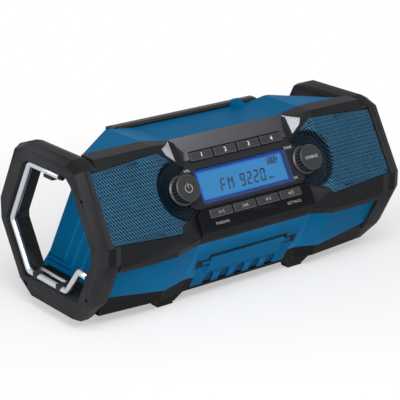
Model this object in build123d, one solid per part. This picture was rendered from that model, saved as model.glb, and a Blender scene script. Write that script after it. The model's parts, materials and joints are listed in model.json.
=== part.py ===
from build123d import *
import os
from math import cos, pi, radians, sin

# Jobsite radio with a roll cage at each end.
# Frame: X along the length, +X to the right of someone facing the controls; +Y to the
# back; Z up from the ground under the rubber feet.

# ---- overall form -------------------------------------------------------------------
CAGE_END_X = 205.0        # outer face of each cage
CAGE_CREST_X = 196.0      # where the cage's end chamfer starts
CAGE_JOINT_X = 180.0      # joint between cage and body
GRILLE_END_X = 189.6      # the grille frame reaches into the cage post
CREST_X = 107.0           # facet line on the side sections
CENTRE_X = 77.0           # edge of the recessed centre section
FACE_TILT = 30.0          # the control face leans back
LOWER_TILT = 28.0         # the lower front leans back under
WALL = 3.0
FIT = 0.3                 # running gap between pieces on different bodies

# ---- distances of the body's faces from the origin, in the YZ section -----------------
SIDE_TOP = 180.6
CENTRE_DROP = 4.5         # the deck lies lower between the facet lines
END_DROP = 4.0            # and where it meets the cages
FACE_DEPTH = 133.5
CENTRE_RECESS = 9.5       # the control face lies behind the grilles
NOSE_CUT = 6.64           # cut off the edge between the face and the lower front
CENTRE_NOSE_CUT = 0.93
LOWER_DEPTH = 46.7
CENTRE_LOWER_RECESS = 5.0
END_LOWER_RECESS = 6.2
BODY_BOTTOM = 13.0
LOWER_REAR_DEPTH = 33.5
REAR = 82.0
UPPER_REAR_DEPTH = 116.0
PARTING_BEHIND = 18.5     # joint between front frame and rear housing, behind the face
SLANT_DEPTH = 155.7       # hand room cut off each rear corner
END_WALL_X = 164.0        # inner side of the thick end panels

CENTRE_TOP = SIDE_TOP - CENTRE_DROP
END_TOP = SIDE_TOP - END_DROP
CENTRE_FACE_DEPTH = FACE_DEPTH - CENTRE_RECESS
CENTRE_LOWER_DEPTH = LOWER_DEPTH - CENTRE_LOWER_RECESS
END_LOWER_DEPTH = LOWER_DEPTH - END_LOWER_RECESS
PARTING = FACE_DEPTH - PARTING_BEHIND

# ---- controls on the leaning face: v runs up the face, c stands out of it -------------
KNOB_X = 83.9
KNOB_V = 80.5
KNOB_PROUD = 5.1          # the knobs stand out past the face
KNOB_FLANGE_RADIUS = 16.2
KNOB_RADIUS = 14.6
KNOB_RIM = 2.6            # plain round rim above the flutes
KNOB_TRAVEL = 0.8
SHAFT_RADIUS = 3.0
KEY_PITCH = 31.75
KEY_WIDTH = 29.4
KEY_HEIGHT = 9.2
KEY_GAP = 0.4
KEY_TRAVEL = 1.0
PRESET_V = 112.1
PRESET_BEHIND = 5.6
FUNCTION_V = 49.3
FUNCTION_BEHIND = 2.9
VISOR_BEHIND = 7.2
BEZEL_BEHIND = 9.1
CHIN_BEHIND = 4.5
PANEL_BACK_BEHIND = 14.8
LCD_WIDTH = 122.0
LCD_HEIGHT = 36.0
LCD_V = 81.0
LCD_BEHIND = 10.6
DISH_DEPTH = 11.5
DISH_FLOOR_RADIUS = 19.0
DISH_RADIUS = 35.0
GRILLE_BEHIND = 0.7
GRILLE_THICKNESS = 1.6
SPEAKER_X = 147.0
SPEAKER_RADIUS = 28.0
BOARD_BEHIND = 25.5
SCREW_RADIUS = 1.9
FRAME_SCREW_RADIUS = 1.6
BOARD_SCREW_RADIUS = 1.2

PRESET_FACE = FACE_DEPTH - PRESET_BEHIND
FUNCTION_FACE = FACE_DEPTH - FUNCTION_BEHIND
VISOR_FACE = FACE_DEPTH - VISOR_BEHIND
BEZEL_FACE = FACE_DEPTH - BEZEL_BEHIND
CHIN_FACE = FACE_DEPTH - CHIN_BEHIND
PANEL_BACK = FACE_DEPTH - PANEL_BACK_BEHIND
LCD_FACE = FACE_DEPTH - LCD_BEHIND
DISH_FLOOR = FACE_DEPTH - DISH_DEPTH
GRILLE_FACE = FACE_DEPTH - GRILLE_BEHIND
BOARD_FACE = FACE_DEPTH - BOARD_BEHIND
KNOB_FACE = FACE_DEPTH + KNOB_PROUD
KNOB_BASE = BEZEL_FACE + KNOB_TRAVEL + FIT
FRAME_SCREW_SEAT = FACE_DEPTH - 5.3

# ---- hook, antenna, flap, dock ----------------------------------------------------------
WIRE_RADIUS = 2.75
HOOK_X = 5.0 - CAGE_END_X
HOOK_PIVOT_Z = 36.4       # the hook turns on its own lower leg
ROD_X = HOOK_X + 11.0
ROD_Z = 37.4
ROD_RADIUS = 2.5
ANTENNA_LEFT = -103.0
ANTENNA_RIGHT = 98.0
ANTENNA_FRONT = 27.6
ANTENNA_WIDTH = 9.4
ANTENNA_HEIGHT = 9.2
ANTENNA_TOP = SIDE_TOP      # it lies flush with the deck
FLAP_HALF = 65.0
FLAP_SHOULDER = 50.6
FLAP_SHOULDER_W = 71.0
FLAP_TOP_W = 83.0
FLAP_BOTTOM_W = 41.5
FLAP_THICKNESS = 4.2
FLAP_BAND_PROUD = 1.5
FLAP_HINGE_W = 75.5
KNUCKLE = 3.2
PIN_RADIUS = 1.25
KNUCKLE_END = 60.5
PIVOT_SWEEP = 9.4         # room behind the hinge for the flap's turning edge
PORT_HALF = 58.0
PORT_LOW_W = 45.0
PORT_HIGH_W = 64.0
PORT_DEPTH = 19.7
DOCK_HALF = 45.0
DOCK_FLOOR_Y = 58.0
DOCK_LOW = 42.0
DOCK_HIGH = 132.0
FOOT_X = 91.5

FLAP_FACE = CENTRE_LOWER_DEPTH
FLAP_BAND = FLAP_FACE + FLAP_BAND_PROUD
FLAP_BACK = FLAP_FACE - FLAP_THICKNESS
FLAP_HINGE_C = FLAP_FACE - FLAP_THICKNESS / 2
PORT_FLOOR = FLAP_FACE - PORT_DEPTH

CT, ST = cos(radians(FACE_TILT)), sin(radians(FACE_TILT))
CL, SL = cos(radians(LOWER_TILT)), sin(radians(LOWER_TILT))

os.makedirs("parts", exist_ok=True)


def save(name, shape):
    """Write one sub-part of the assembly."""
    shape.label = name
    export_step(shape, f"parts/{name}.step")


def face_yz(v, c):
    """Y and Z of the point v up the leaning face and c out of it."""
    return (-c * CT + v * ST, c * ST + v * CT)


def face_plane(c, x=0.0, v=0.0):
    y, z = face_yz(v, c)
    return Plane(origin=(x, y, z), x_dir=(1, 0, 0), z_dir=(0, -CT, ST))


def lower_plane(c, x=0.0, w=0.0):
    """Plane parallel to the lower front; w runs up it."""
    origin = (x, -c * CL - w * SL, -c * SL + w * CL)
    return Plane(origin=origin, x_dir=(1, 0, 0), z_dir=(0, -CL, -SL))


def section_plane(x):
    return Plane(origin=(x, 0, 0), x_dir=(0, 1, 0), z_dir=(1, 0, 0))


def corners(lines):
    """Corners of the closed outline whose sides are (direction in degrees, distance)."""
    points = []
    for (a, da), (b, db) in zip(lines, lines[1:] + lines[:1]):
        ca, sa, cb, sb = cos(radians(a)), sin(radians(a)), cos(radians(b)), sin(radians(b))
        det = ca * sb - sa * cb
        points.append(((da * sb - db * sa) / det, (ca * db - cb * da) / det))
    return points


def nose_depth(face, low, cut):
    """Distance of the narrow flat between the leaning face and the lower front."""
    y, z = corners([(180 - FACE_TILT, face), (180 + LOWER_TILT, low)])[0]
    return -y - cut


NOSE = nose_depth(FACE_DEPTH, LOWER_DEPTH, NOSE_CUT)
CENTRE_NOSE = nose_depth(CENTRE_FACE_DEPTH, CENTRE_LOWER_DEPTH, CENTRE_NOSE_CUT)


def section(x, lines):
    return section_plane(x) * make_face(Polyline(*corners(lines), close=True))


def prism_yz(points, x0, x1):
    """Outline in Y and Z, from x0 to x1."""
    return extrude(section_plane(x0) * make_face(Polyline(*points, close=True)), x1 - x0)


def plate(points, c0, c1):
    """Outline in x and v on the leaning face, from depth c0 to c1."""
    return extrude(face_plane(c0) * make_face(Polyline(*points, close=True)), c1 - c0)


def disc(x, v, radius, c0, c1):
    return extrude(face_plane(c0, x, v) * Circle(radius), c1 - c0)


def stud(x, v, radius, c0, c1, sides=8):
    """Many-sided post or hole square to the leaning face."""
    return extrude(face_plane(c0, x, v) * RegularPolygon(radius, sides), c1 - c0)


def stud_x(x0, x1, y, z, radius):
    """Eight-sided post or hole along X."""
    return extrude(section_plane(x0) * Pos(y, z) * RegularPolygon(radius, 8), x1 - x0)


def taper(x, v, wide, deep, narrow, shallow, sides):
    """Many-sided taper square to the face, from the wide end's radius and depth to the
    narrow end's."""
    base = face_plane(deep, x, v)
    if shallow < deep:
        base = Plane(origin=base.origin, x_dir=base.x_dir, z_dir=-base.z_dir)
    height = abs(shallow - deep)
    form = extrude(base * RegularPolygon(wide, sides), height)
    end = form.faces().sort_by(Axis(base.origin, base.z_dir))[-1]
    return chamfer(end.edges(), (wide - narrow) * cos(pi / sides), height - 0.05, reference=end)


def bell(x, v, rings, sides=18):
    """Many-sided bowl or cone square to the face, through rings of (radius, depth)."""
    form = None
    for (r0, c0), (r1, c1) in zip(rings, rings[1:]):
        if r0 == r1:
            piece = stud(x, v, r0, min(c0, c1), max(c0, c1), sides)
        elif r0 > r1:
            piece = taper(x, v, r0, c0, r1, c1, sides)
        else:
            piece = taper(x, v, r1, c1, r0, c0, sides)
        form = piece if form is None else form + piece
    return form


def panel_box(x, v, width, height, c0, c1):
    return extrude(face_plane(c0, x, v) * Rectangle(width, height), c1 - c0)


def lower_box(x, w, width, height, c0, c1):
    return extrude(lower_plane(c0, x, w) * Rectangle(width, height), c1 - c0)


def box(x0, x1, y0, y1, z0, z1):
    return Pos((x0 + x1) / 2, (y0 + y1) / 2, (z0 + z1) / 2) * Box(x1 - x0, y1 - y0, z1 - z0)


def flip(shape):
    return mirror(shape, Plane.YZ)


def both(shape):
    return shape + flip(shape)


def in_front_of(c):
    """Everything in front of depth c of the leaning face."""
    return extrude(face_plane(c) * Rectangle(900, 900), 300)


def body_lines(top, face, nose, low, inset=0.0):
    """The body's hexagonal outline, going round from the top to the front and back."""
    sides = [
        (90, top),
        (180 - FACE_TILT, face),
        (180, nose),
        (180 + LOWER_TILT, low),
        (270, -BODY_BOTTOM),
        (330, LOWER_REAR_DEPTH),
        (360, REAR),
        (388, UPPER_REAR_DEPTH),
    ]
    return [(a, d - inset) for a, d in sides]


def loft_body(stations, inset=0.0):
    """Faceted body through mirrored stations (x, top, face, nose, low)."""
    faces = [section(-x, body_lines(*rest, inset)) for x, *rest in stations]
    faces += [section(x, body_lines(*rest, inset)) for x, *rest in reversed(stations)]
    return loft(faces, ruled=True)


def slant_cut(depth):
    """Room for the hand behind the right cage: all that lies past the slanted plane."""
    normal = Vector(0.577, 0.715, 0.395).normalized()
    plane = Plane(origin=normal * depth, x_dir=(0, 0.4836, -0.8753), z_dir=normal)
    return extrude(plane * Rectangle(600, 600), 300)


# =========================================================================================
# Cages: one roll bar at each end, a hexagonal loop with chamfered outer edges. The loop is
# the carrying handle and takes the knocks. Screwed to the end of the body.
# =========================================================================================
def cage_lines(grow):
    sides = [
        (90, SIDE_TOP - 4.6),
        (110, SIDE_TOP - 2.6),
        (150, FACE_DEPTH - 2.5),
        (180, NOSE - 2.2),
        (208, LOWER_DEPTH - 4.7),
        (226, LOWER_DEPTH - 26.7),
        (270, -BODY_BOTTOM),
        (303, LOWER_REAR_DEPTH - 24.7),
        (330, LOWER_REAR_DEPTH + 3.1),
        (360, REAR + 9.2),
        (388, UPPER_REAR_DEPTH + 15.2),
        (430, SIDE_TOP - 0.6),
    ]
    return [(a, d + grow) for a, d in sides]


def opening_lines(top, front_corner, face, nose, low, bottom, low_rear, rear, up_rear, rear_corner):
    """Inner outline of the loop, each side so far inside the body's own."""
    return [
        (90, SIDE_TOP - top),
        (128, SIDE_TOP - front_corner),
        (150, FACE_DEPTH - face),
        (180, NOSE - nose),
        (208, LOWER_DEPTH - low),
        (270, -BODY_BOTTOM - bottom),
        (330, LOWER_REAR_DEPTH - low_rear),
        (360, REAR - rear),
        (388, UPPER_REAR_DEPTH - up_rear),
        (422, SIDE_TOP - rear_corner),
    ]


OPENING_OUTER = opening_lines(17.1, 29.4, 16.1, 16.3, 16.7, 19.5, 6.0, 1.5, 2.5, 19.6)
OPENING_INNER = opening_lines(21.6, 34.1, 20.0, 20.3, 19.7, 22.0, 11.8, 7.5, 6.5, 24.7)

cage_outside = loft(
    [
        section(CAGE_JOINT_X, cage_lines(2.6)),
        section(CAGE_JOINT_X + 7, cage_lines(4.5)),
        section(CAGE_CREST_X, cage_lines(4.5)),
        section(CAGE_END_X, cage_lines(0)),
    ],
    ruled=True,
)
cage_hole = loft(
    [
        section(CAGE_JOINT_X - 0.5, OPENING_INNER),
        section(CAGE_END_X + 0.5, OPENING_OUTER),
    ],
    ruled=True,
)
grille_ear_zone = panel_box(
    (CAGE_JOINT_X + GRILLE_END_X) / 2 - 0.35, 80.5, GRILLE_END_X - CAGE_JOINT_X + 1.0, 80.0,
    PARTING - 0.4, FACE_DEPTH + 16.5,
)
right_cage = cage_outside - cage_hole - grille_ear_zone
# Oval drain hole through the rear of the lower beam and two screw pockets in the post.
for y, z in ((-68.0, 42.0), (-64.5, 146.0)):
    right_cage -= stud_x(CAGE_END_X - 3, CAGE_END_X + 3, y, z, 2.2)
drain = extrude(Plane(origin=(CAGE_END_X + 1, 47, 24), x_dir=(0, 0.87, 0.5), z_dir=(1, 0, 0))
                * SlotOverall(8, 3.6), -9)
right_cage -= drain
cage_screw_spots = ((-31.0, 169.0), (-80.0, 80.0), (-40.0, 24.0), (25.0, 24.0))


def rod_x(x0, x1, y, z, radius):
    return Pos((x0 + x1) / 2, y, z) * Rot(0, 90, 0) * Cylinder(radius, x1 - x0)


cage_bores = [stud_x(163.0, 188.0, y, z, SCREW_RADIUS) for y, z in cage_screw_spots]
for bore in cage_bores:
    right_cage -= bore
left_cage = flip(right_cage)

# Left cage: two eyes for the hook's lower leg and two saddles for the fixed rod.
for y in (30.0, -14.0):
    left_cage += box(HOOK_X - 3.6, HOOK_X + 6, y - 4, y + 4, 30, HOOK_PIVOT_Z + 4.4)
for y in (44.0, -14.0):
    left_cage += box(ROD_X - 4, ROD_X + 6, y - 3, y + 3, 30, ROD_Z + 3.4)
pivot_bore = Pos(HOOK_X, 8, HOOK_PIVOT_Z) * Rot(90, 0, 0) * Cylinder(WIRE_RADIUS + 0.05, 62)
rod_bore = Pos(ROD_X, 15, ROD_Z) * Rot(90, 0, 0) * Cylinder(ROD_RADIUS, 70)
left_cage = left_cage - pivot_bore - rod_bore
left_cage = left_cage.solids().sort_by(SortBy.VOLUME)[-1]

# =========================================================================================
# Rear housing: blue moulded shell behind the front frame, with the top deck, the end walls
# and the lower front. Hollow, ribbed inside, cut away at both rear corners for the hand.
# =========================================================================================
blue_stations = [
    (CAGE_JOINT_X, END_TOP, FACE_DEPTH, NOSE, END_LOWER_DEPTH),
    (CREST_X, SIDE_TOP, FACE_DEPTH, NOSE, LOWER_DEPTH),
    (CENTRE_X, CENTRE_TOP, CENTRE_FACE_DEPTH, CENTRE_NOSE, CENTRE_LOWER_DEPTH),
]
black_stations = [
    (CAGE_JOINT_X, SIDE_TOP, FACE_DEPTH, NOSE, LOWER_DEPTH),
    (CREST_X, SIDE_TOP, FACE_DEPTH, NOSE, LOWER_DEPTH),
    (CENTRE_X, CENTRE_TOP, CENTRE_FACE_DEPTH, CENTRE_NOSE, CENTRE_LOWER_DEPTH),
]
inner_stations = [
    (END_WALL_X, END_TOP, FACE_DEPTH - 3, NOSE, END_LOWER_DEPTH),
    (CREST_X, SIDE_TOP - 1, FACE_DEPTH - 3, NOSE, LOWER_DEPTH - 1),
    (CENTRE_X, CENTRE_TOP - 1, CENTRE_FACE_DEPTH - 1, CENTRE_NOSE - 2, CENTRE_LOWER_DEPTH - 1),
]
blue_body = loft_body(blue_stations)
black_body = loft_body(black_stations)
hollow = loft_body(inner_stations, WALL) - both(slant_cut(SLANT_DEPTH - 4))

# Lower edge of the blue shell against the base: it drops at each foot.
base_line = [
    (CAGE_JOINT_X + 1, 38.0),
    (CREST_X, 27.5),
    (CENTRE_X, 31.4),
    (FLAP_HALF + 0.6, 30.6),
    (FLAP_HALF + 0.6, 17.0),
]
base_outline = base_line + [(-x, z) for x, z in reversed(base_line)]
below = extrude(
    Plane(origin=(0, 150, 0), x_dir=(1, 0, 0), z_dir=(0, -1, 0))
    * make_face(Polyline(*base_outline, (-CAGE_JOINT_X - 1, -20), (CAGE_JOINT_X + 1, -20), close=True)),
    300,
)
slants = both(slant_cut(SLANT_DEPTH))
rear_housing = blue_body - in_front_of(PARTING) - below - slants - hollow

# Stepped panels in the end walls, parallel to the slanted rear edge.
step_room = extrude(section(166.0, OPENING_INNER), 20)
for depth, low_z, across in ((168.5, 50.5, 45.8), (171.0, 46.0, 29.0), (174.0, 41.0, 12.0), (177.0, 36.5, -60.0)):
    slab = box(depth, 190, -150, 150, low_z, 250)
    rear_side = extrude(
        Plane(origin=(depth, across * CT, across * ST), x_dir=(1, 0, 0), z_dir=(0, CT, ST))
        * Rectangle(80, 400),
        200,
    )
    rear_housing -= both(step_room & slab & rear_side)

# Groove for the antenna along the rear edge of the deck, and its retaining tab.
groove_floor = ANTENNA_TOP - ANTENNA_HEIGHT - FIT
groove_wall = box(-CREST_X + 1, CREST_X - 1, ANTENNA_FRONT - FIT - WALL, 44, groove_floor - WALL, SIDE_TOP + 10)
rear_housing += groove_wall & blue_body - slants
rear_housing -= box(-CREST_X - 5, CREST_X + 5, ANTENNA_FRONT - FIT, 60, groove_floor, SIDE_TOP + 20)
tab_profile = [(55.5, -10.6), (56.5, 1.4), (59.0, 4.0), (67.5, 4.0), (76.5, -4.6), (76.5, -10.6)]
antenna_tab = extrude(
    Plane(origin=(0, ANTENNA_FRONT - FIT, SIDE_TOP), x_dir=(1, 0, 0), z_dir=(0, -1, 0))
    * make_face(Polyline(*tab_profile, close=True)),
    5.0,
)
rear_housing += antenna_tab
# Ears that carry the antenna pin at the left end of the groove.
pin_x = ANTENNA_LEFT + ANTENNA_HEIGHT / 2
pin_z = ANTENNA_TOP - ANTENNA_HEIGHT / 2
ear_rear_y = ANTENNA_FRONT + ANTENNA_WIDTH + FIT
antenna_ear = box(pin_x - 4.5, pin_x + 5, ear_rear_y, ear_rear_y + 3, groove_floor - 8, pin_z + 3.5)
rear_housing += antenna_ear
antenna_pin_bore = Pos(pin_x, ANTENNA_FRONT + 4, pin_z) * Rot(90, 0, 0) * Cylinder(1.5, 26)
rear_housing -= antenna_pin_bore

# Battery bay in the middle of the back: a tray let into the shell, open to the rear and
# upwards.
dock_room = box(-DOCK_HALF, DOCK_HALF, DOCK_FLOOR_Y, 120, DOCK_LOW, 200)
dock_block = box(
    -DOCK_HALF - WALL, DOCK_HALF + WALL, DOCK_FLOOR_Y - WALL, 120, DOCK_LOW - WALL, groove_floor - 1
)
rear_housing -= dock_block + dock_room
battery_bay = (dock_block & blue_body) - dock_room
battery_bay = battery_bay.solids().sort_by(SortBy.VOLUME)[-1]

# Port bay behind the flap: a separate tray with the sockets in its floor. The flap's top
# edge turns inwards as it opens, so a round pocket lies behind the hinge.
hinge_line = lower_plane(FLAP_HINGE_C, 0, FLAP_HINGE_W)


def hinge_rod(radius, half):
    return Plane(origin=hinge_line.origin, x_dir=(0, 1, 0), z_dir=(1, 0, 0)) * Cylinder(radius, 2 * half)


port_mid = (PORT_LOW_W + PORT_HIGH_W) / 2
port_high = PORT_HIGH_W - PORT_LOW_W
port_liner = lower_box(0, port_mid, 2 * PORT_HALF + 6, port_high + 6, PORT_FLOOR - WALL, 38)
port_room = lower_box(0, port_mid, 2 * PORT_HALF, port_high, PORT_FLOOR, 60)
flap_mid = (FLAP_BOTTOM_W + FLAP_SHOULDER_W) / 2
flap_room = lower_box(0, flap_mid - 10, 2 * FLAP_HALF + 1.2, FLAP_SHOULDER_W - FLAP_BOTTOM_W + 20.8, FLAP_BACK - FIT, 80)
band_room = lower_box(0, 77, 2 * FLAP_SHOULDER + 1.2, 2 * (FLAP_TOP_W - 77) + 0.8, FLAP_BACK - FIT, 80)
liner = port_liner + hinge_rod(PIVOT_SWEEP + WALL, FLAP_SHOULDER + 3.6) + hinge_rod(KNUCKLE + 3.4, FLAP_HALF + 4)
socket_tray = liner & blue_body
rear_housing -= liner
for room in (
    port_room,
    flap_room,
    band_room,
    hinge_rod(PIVOT_SWEEP, FLAP_SHOULDER + 0.6),
    hinge_rod(KNUCKLE + 0.5, KNUCKLE_END + 0.4),
    hinge_rod(PIN_RADIUS, FLAP_HALF + 1.5),
):
    rear_housing -= room
    socket_tray -= room
socket_tray -= lower_box(0, port_mid, 92, 14, PORT_FLOOR - WALL - 1, PORT_FLOOR + 1)
socket_tray -= below
socket_tray = socket_tray.solids().sort_by(SortBy.VOLUME)[-1]
for bore in cage_bores:
    rear_housing -= both(bore)
frame_screw_spots = ((166.5, 46.5), (166.5, 114.5))
for x, v in frame_screw_spots:
    rear_housing -= both(stud(x, v, FRAME_SCREW_RADIUS, PARTING - 14, PARTING + 1))
rear_housing = rear_housing - below
rear_housing = rear_housing.solids().sort_by(SortBy.VOLUME)[-1]
# The thick stepped ends are panels of their own, set against the shell.
right_end_panel = rear_housing & box(END_WALL_X, CAGE_END_X, -150, 150, -10, 250)
right_end_panel = right_end_panel.solids().sort_by(SortBy.VOLUME)[-1]
left_end_panel = flip(right_end_panel)
rear_housing = rear_housing & box(-END_WALL_X, END_WALL_X, -150, 150, -10, 250)
# Between them the shell is a deck with the back wall, and a strip below the front frame.
shell_parts = rear_housing.solids().sort_by(SortBy.VOLUME)
rear_housing = shell_parts[-1]
lower_front = shell_parts[-2]


# =========================================================================================
# Base: black lower shell with the skirt, the floor and the four legs. Rubber pads under it.
# =========================================================================================
base = (blue_body & below) - slants - hollow
leg_front = [(FOOT_X - 20.5, 17), (FOOT_X - 11, 3), (FOOT_X + 11, 3), (FOOT_X + 20.5, 17)]
leg_across = extrude(
    Plane(origin=(0, 150, 0), x_dir=(1, 0, 0), z_dir=(0, -1, 0)) * make_face(Polyline(*leg_front, close=True)), 300
)
legs = []
for y_top, y_low in (((-57.0, -27.0), (-49.0, -35.0)), ((17.0, 44.0), (24.0, 38.0))):
    leg_side = [(y_top[0], 17), (y_top[1], 17), (y_low[1], 3), (y_low[0], 3)]
    legs.append(prism_yz(leg_side, FOOT_X - 21, FOOT_X + 21) & leg_across)
pads = []
for y in (-42.0, 31.0):
    pads.append(Pos(FOOT_X, y, 1.5) * Box(20, 12, 3))
base += both(legs[0] + legs[1])
base -= liner
base -= both(loft([section(168.5, OPENING_INNER), section(190, OPENING_INNER)], ruled=True) & box(150, 190, -150, 150, 36.5, 250))
# The skirt is cut back under the flap and along the socket bay.
base -= lower_box(0, FLAP_BOTTOM_W + 5, 2 * FLAP_HALF + 1.2, 60, FLAP_BACK - FIT, 90) & box(-80, 80, -90, 0, 17.0, 60)
for bore in cage_bores:
    base -= both(bore)
base = base.solids().sort_by(SortBy.VOLUME)[-1]
rubber_feet = both(pads[0] + pads[1])

# =========================================================================================
# Front frame: black faceted moulding that carries grilles, speakers and controls.
# =========================================================================================
def grille_form(drop, hole):
    """Solid whose front is the grille's surface, lowered by drop: flat outer part, facet
    towards the centre, a round dish about the knob and a hole for its shaft."""
    face = GRILLE_FACE - drop
    facet_low = face - 9.2
    profile = [
        (58, face - 33),
        (200, face - 33),
        (200, face),
        (CREST_X, face),
        (CENTRE_X, facet_low),
        (58, facet_low - 5.8),
    ]
    form = extrude(axial_plane(0, 25) * make_face(Polyline(*profile, close=True)), -115)
    floor = DISH_FLOOR - drop
    rim = face + 0.05
    dish = bell(KNOB_X, KNOB_V, [(DISH_FLOOR_RADIUS, floor), (29.5, floor + 3.6), (DISH_RADIUS, rim)], 36)
    mouth = stud(KNOB_X, KNOB_V, DISH_RADIUS, rim, rim + 20, 36)
    shaft_hole = stud(KNOB_X, KNOB_V, hole, face - 45, floor + 1, 12)
    return form - dish - mouth - shaft_hole


def axial_plane(x, v):
    """Plane square to the face, with local y standing out of it and z pointing down."""
    y, z = face_yz(v, 0)
    return Plane(origin=(x, y, z), x_dir=(1, 0, 0), z_dir=(0, -ST, -CT))


def axial_axis(x, v):
    y, z = face_yz(v, 0)
    return Axis((x, y, z), (0, -CT, ST))


grille_outline = [
    (GRILLE_END_X, 42.5),
    (GRILLE_END_X, 118.6),
    (104, 124.0),
    (72.5, 104),
    (79.5, 98.5),
    (82.5, 80.5),
    (79.5, 62.5),
    (72.5, 57),
    (100, 44),
    (104, 36.6),
]
seat_outline = [
    (GRILLE_END_X + 0.3, 42.2),
    (GRILLE_END_X + 0.3, 118.9),
    (104, 124.3),
    (71.9, 104),
    (79.1, 98.4),
    (82.1, 80.5),
    (79.1, 62.6),
    (71.9, 57),
    (99.8, 43.7),
    (103.8, 36.2),
]
centre_half = [
    (CENTRE_X + 0.3, 175),
    (CENTRE_X + 0.3, 136.0),
    (67.8, 118.5),
    (69.6, 110),
    (71.2, 104.2),
    (79.3, 98.6),
    (82.3, 80.5),
    (79.3, 62.4),
    (71.2, 56.8),
    (CENTRE_X + 0.8, 50.5),
    (CENTRE_X + 0.8, -20),
]
centre_outline = centre_half + [(-x, v) for x, v in reversed(centre_half)]

frame_inner = [
    (177.0, SIDE_TOP - 3, FACE_DEPTH - 6, NOSE - 3, LOWER_DEPTH - 3),
    (CREST_X, SIDE_TOP - 3, FACE_DEPTH - 6, NOSE - 3, LOWER_DEPTH - 3),
    (CENTRE_X + 2, CENTRE_TOP - 2.7, CENTRE_FACE_DEPTH - 5.4, CENTRE_NOSE - 5.5, CENTRE_LOWER_DEPTH - 2.7),
]
cavity_faces = [section(x, body_lines(*rest)) for x, *rest in frame_inner]
frame_cavity = extrude(cavity_faces[1], 177.0 - CREST_X) + loft([cavity_faces[2], cavity_faces[1]], ruled=True)
frame_cavity = both(frame_cavity)
front_frame = (black_body & in_front_of(PARTING)) - frame_cavity
ear = panel_box(
    (CAGE_JOINT_X + GRILLE_END_X) / 2 - 1, 80.5, GRILLE_END_X - CAGE_JOINT_X + 2, 79.4, PARTING, FACE_DEPTH - 0.1
)
front_frame += both(ear)
front_frame -= both(plate(seat_outline, PARTING - 15, FACE_DEPTH + 16) - grille_form(GRILLE_THICKNESS + 0.2, 9.5))
front_frame -= both(stud(SPEAKER_X, KNOB_V, SPEAKER_RADIUS - 1, PARTING - 15, FACE_DEPTH + 16, 24))
front_frame -= plate(centre_outline, PANEL_BACK - 0.1, FACE_DEPTH + 36)
front_frame -= panel_box(0, 80, 129, 77, PARTING - 15, FACE_DEPTH + 16)
front_frame -= both(panel_box(KNOB_X, KNOB_V, 12.6, 12.6, PARTING - 15, DISH_FLOOR))
# Posts for the main board, and bosses for the screws hidden under the grilles.
board_screw_spots = ((70.5, 123.5), (70.5, 36.5))
for x, v in board_screw_spots:
    post = stud(x, v, 3.2, BOARD_FACE, PANEL_BACK - 0.5) - stud(x, v, BOARD_SCREW_RADIUS, BOARD_FACE - 1, BOARD_FACE + 6)
    front_frame += both(post)
for x, v in frame_screw_spots:
    front_frame += both(stud(x, v, 3.8, PARTING, FRAME_SCREW_SEAT + 0.8))
    front_frame -= both(stud(x, v, FRAME_SCREW_RADIUS, PARTING - 1, GRILLE_FACE - GRILLE_THICKNESS))
    front_frame -= both(stud(x, v, 3.2, FRAME_SCREW_SEAT, GRILLE_FACE))
front_frame = front_frame.solids().sort_by(SortBy.VOLUME)[-1]

# Grilles: formed sheet, flat outside, facetted towards the centre, dished round the knob.
grille_blank = plate(grille_outline, GRILLE_FACE - 32, FACE_DEPTH + 16)
right_grille = (grille_blank & grille_form(0, 7.5)) - grille_form(GRILLE_THICKNESS, 5.0)
right_grille = right_grille.solids().sort_by(SortBy.VOLUME)[-1]
left_grille = flip(right_grille)

# =========================================================================================
# Control panels in the recessed centre: visor, bezel round the display, and chin.
# =========================================================================================
visor_back = (CENTRE_TOP * ST - PARTING) / CT - 0.5
visor_profile = [
    (visor_back, CENTRE_TOP + 0.1),
    (visor_back - 4.4, CENTRE_TOP + 1.9),
    face_yz(118.2, VISOR_FACE),
    face_yz(109.8, VISOR_FACE),
    face_yz(109.8, VISOR_FACE - 3),
    face_yz(116.6, VISOR_FACE - 3),
    (visor_back - 4.8, CENTRE_TOP - 1.7),
    (visor_back, CENTRE_TOP - 2.7),
]
visor_half = [
    (CENTRE_X, 175),
    (CENTRE_X, 136.0),
    (67.4, 118.5),
    (69.2, 109.8),
    (62.9, 109.8),
    (62.6, 118.2),
]
visor_outline = visor_half + [(-x, v) for x, v in reversed(visor_half)]
visor = prism_yz(visor_profile, -90, 90) & plate(visor_outline, FACE_DEPTH - 70, FACE_DEPTH + 36)
visor -= black_body - in_front_of(PANEL_BACK)
visor = visor.solids().sort_by(SortBy.VOLUME)[-1]

# Bright facets, let into the frame beside the visor on each side.
wing_corners = [
    (CENTRE_X + 0.6, 135.0),
    (CREST_X - 11.5, 127.0),
    (CREST_X - 15.5, 119.9),
    (CENTRE_X + 3.0, 111.8),
]
wing_plane = Plane(origin=(87.2, *face_yz(123.7, FACE_DEPTH - 8.3)), z_dir=(-0.326, -0.719, 0.615))
wing_room = plate(wing_corners, PANEL_BACK + 0.3, FACE_DEPTH + 30)
front_frame -= both(wing_room & extrude(wing_plane * Rectangle(120, 120), 60))
front_frame += both(wing_room & extrude(wing_plane * Rectangle(120, 120), -40))
front_frame = front_frame.solids().sort_by(SortBy.VOLUME)[-1]

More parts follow.
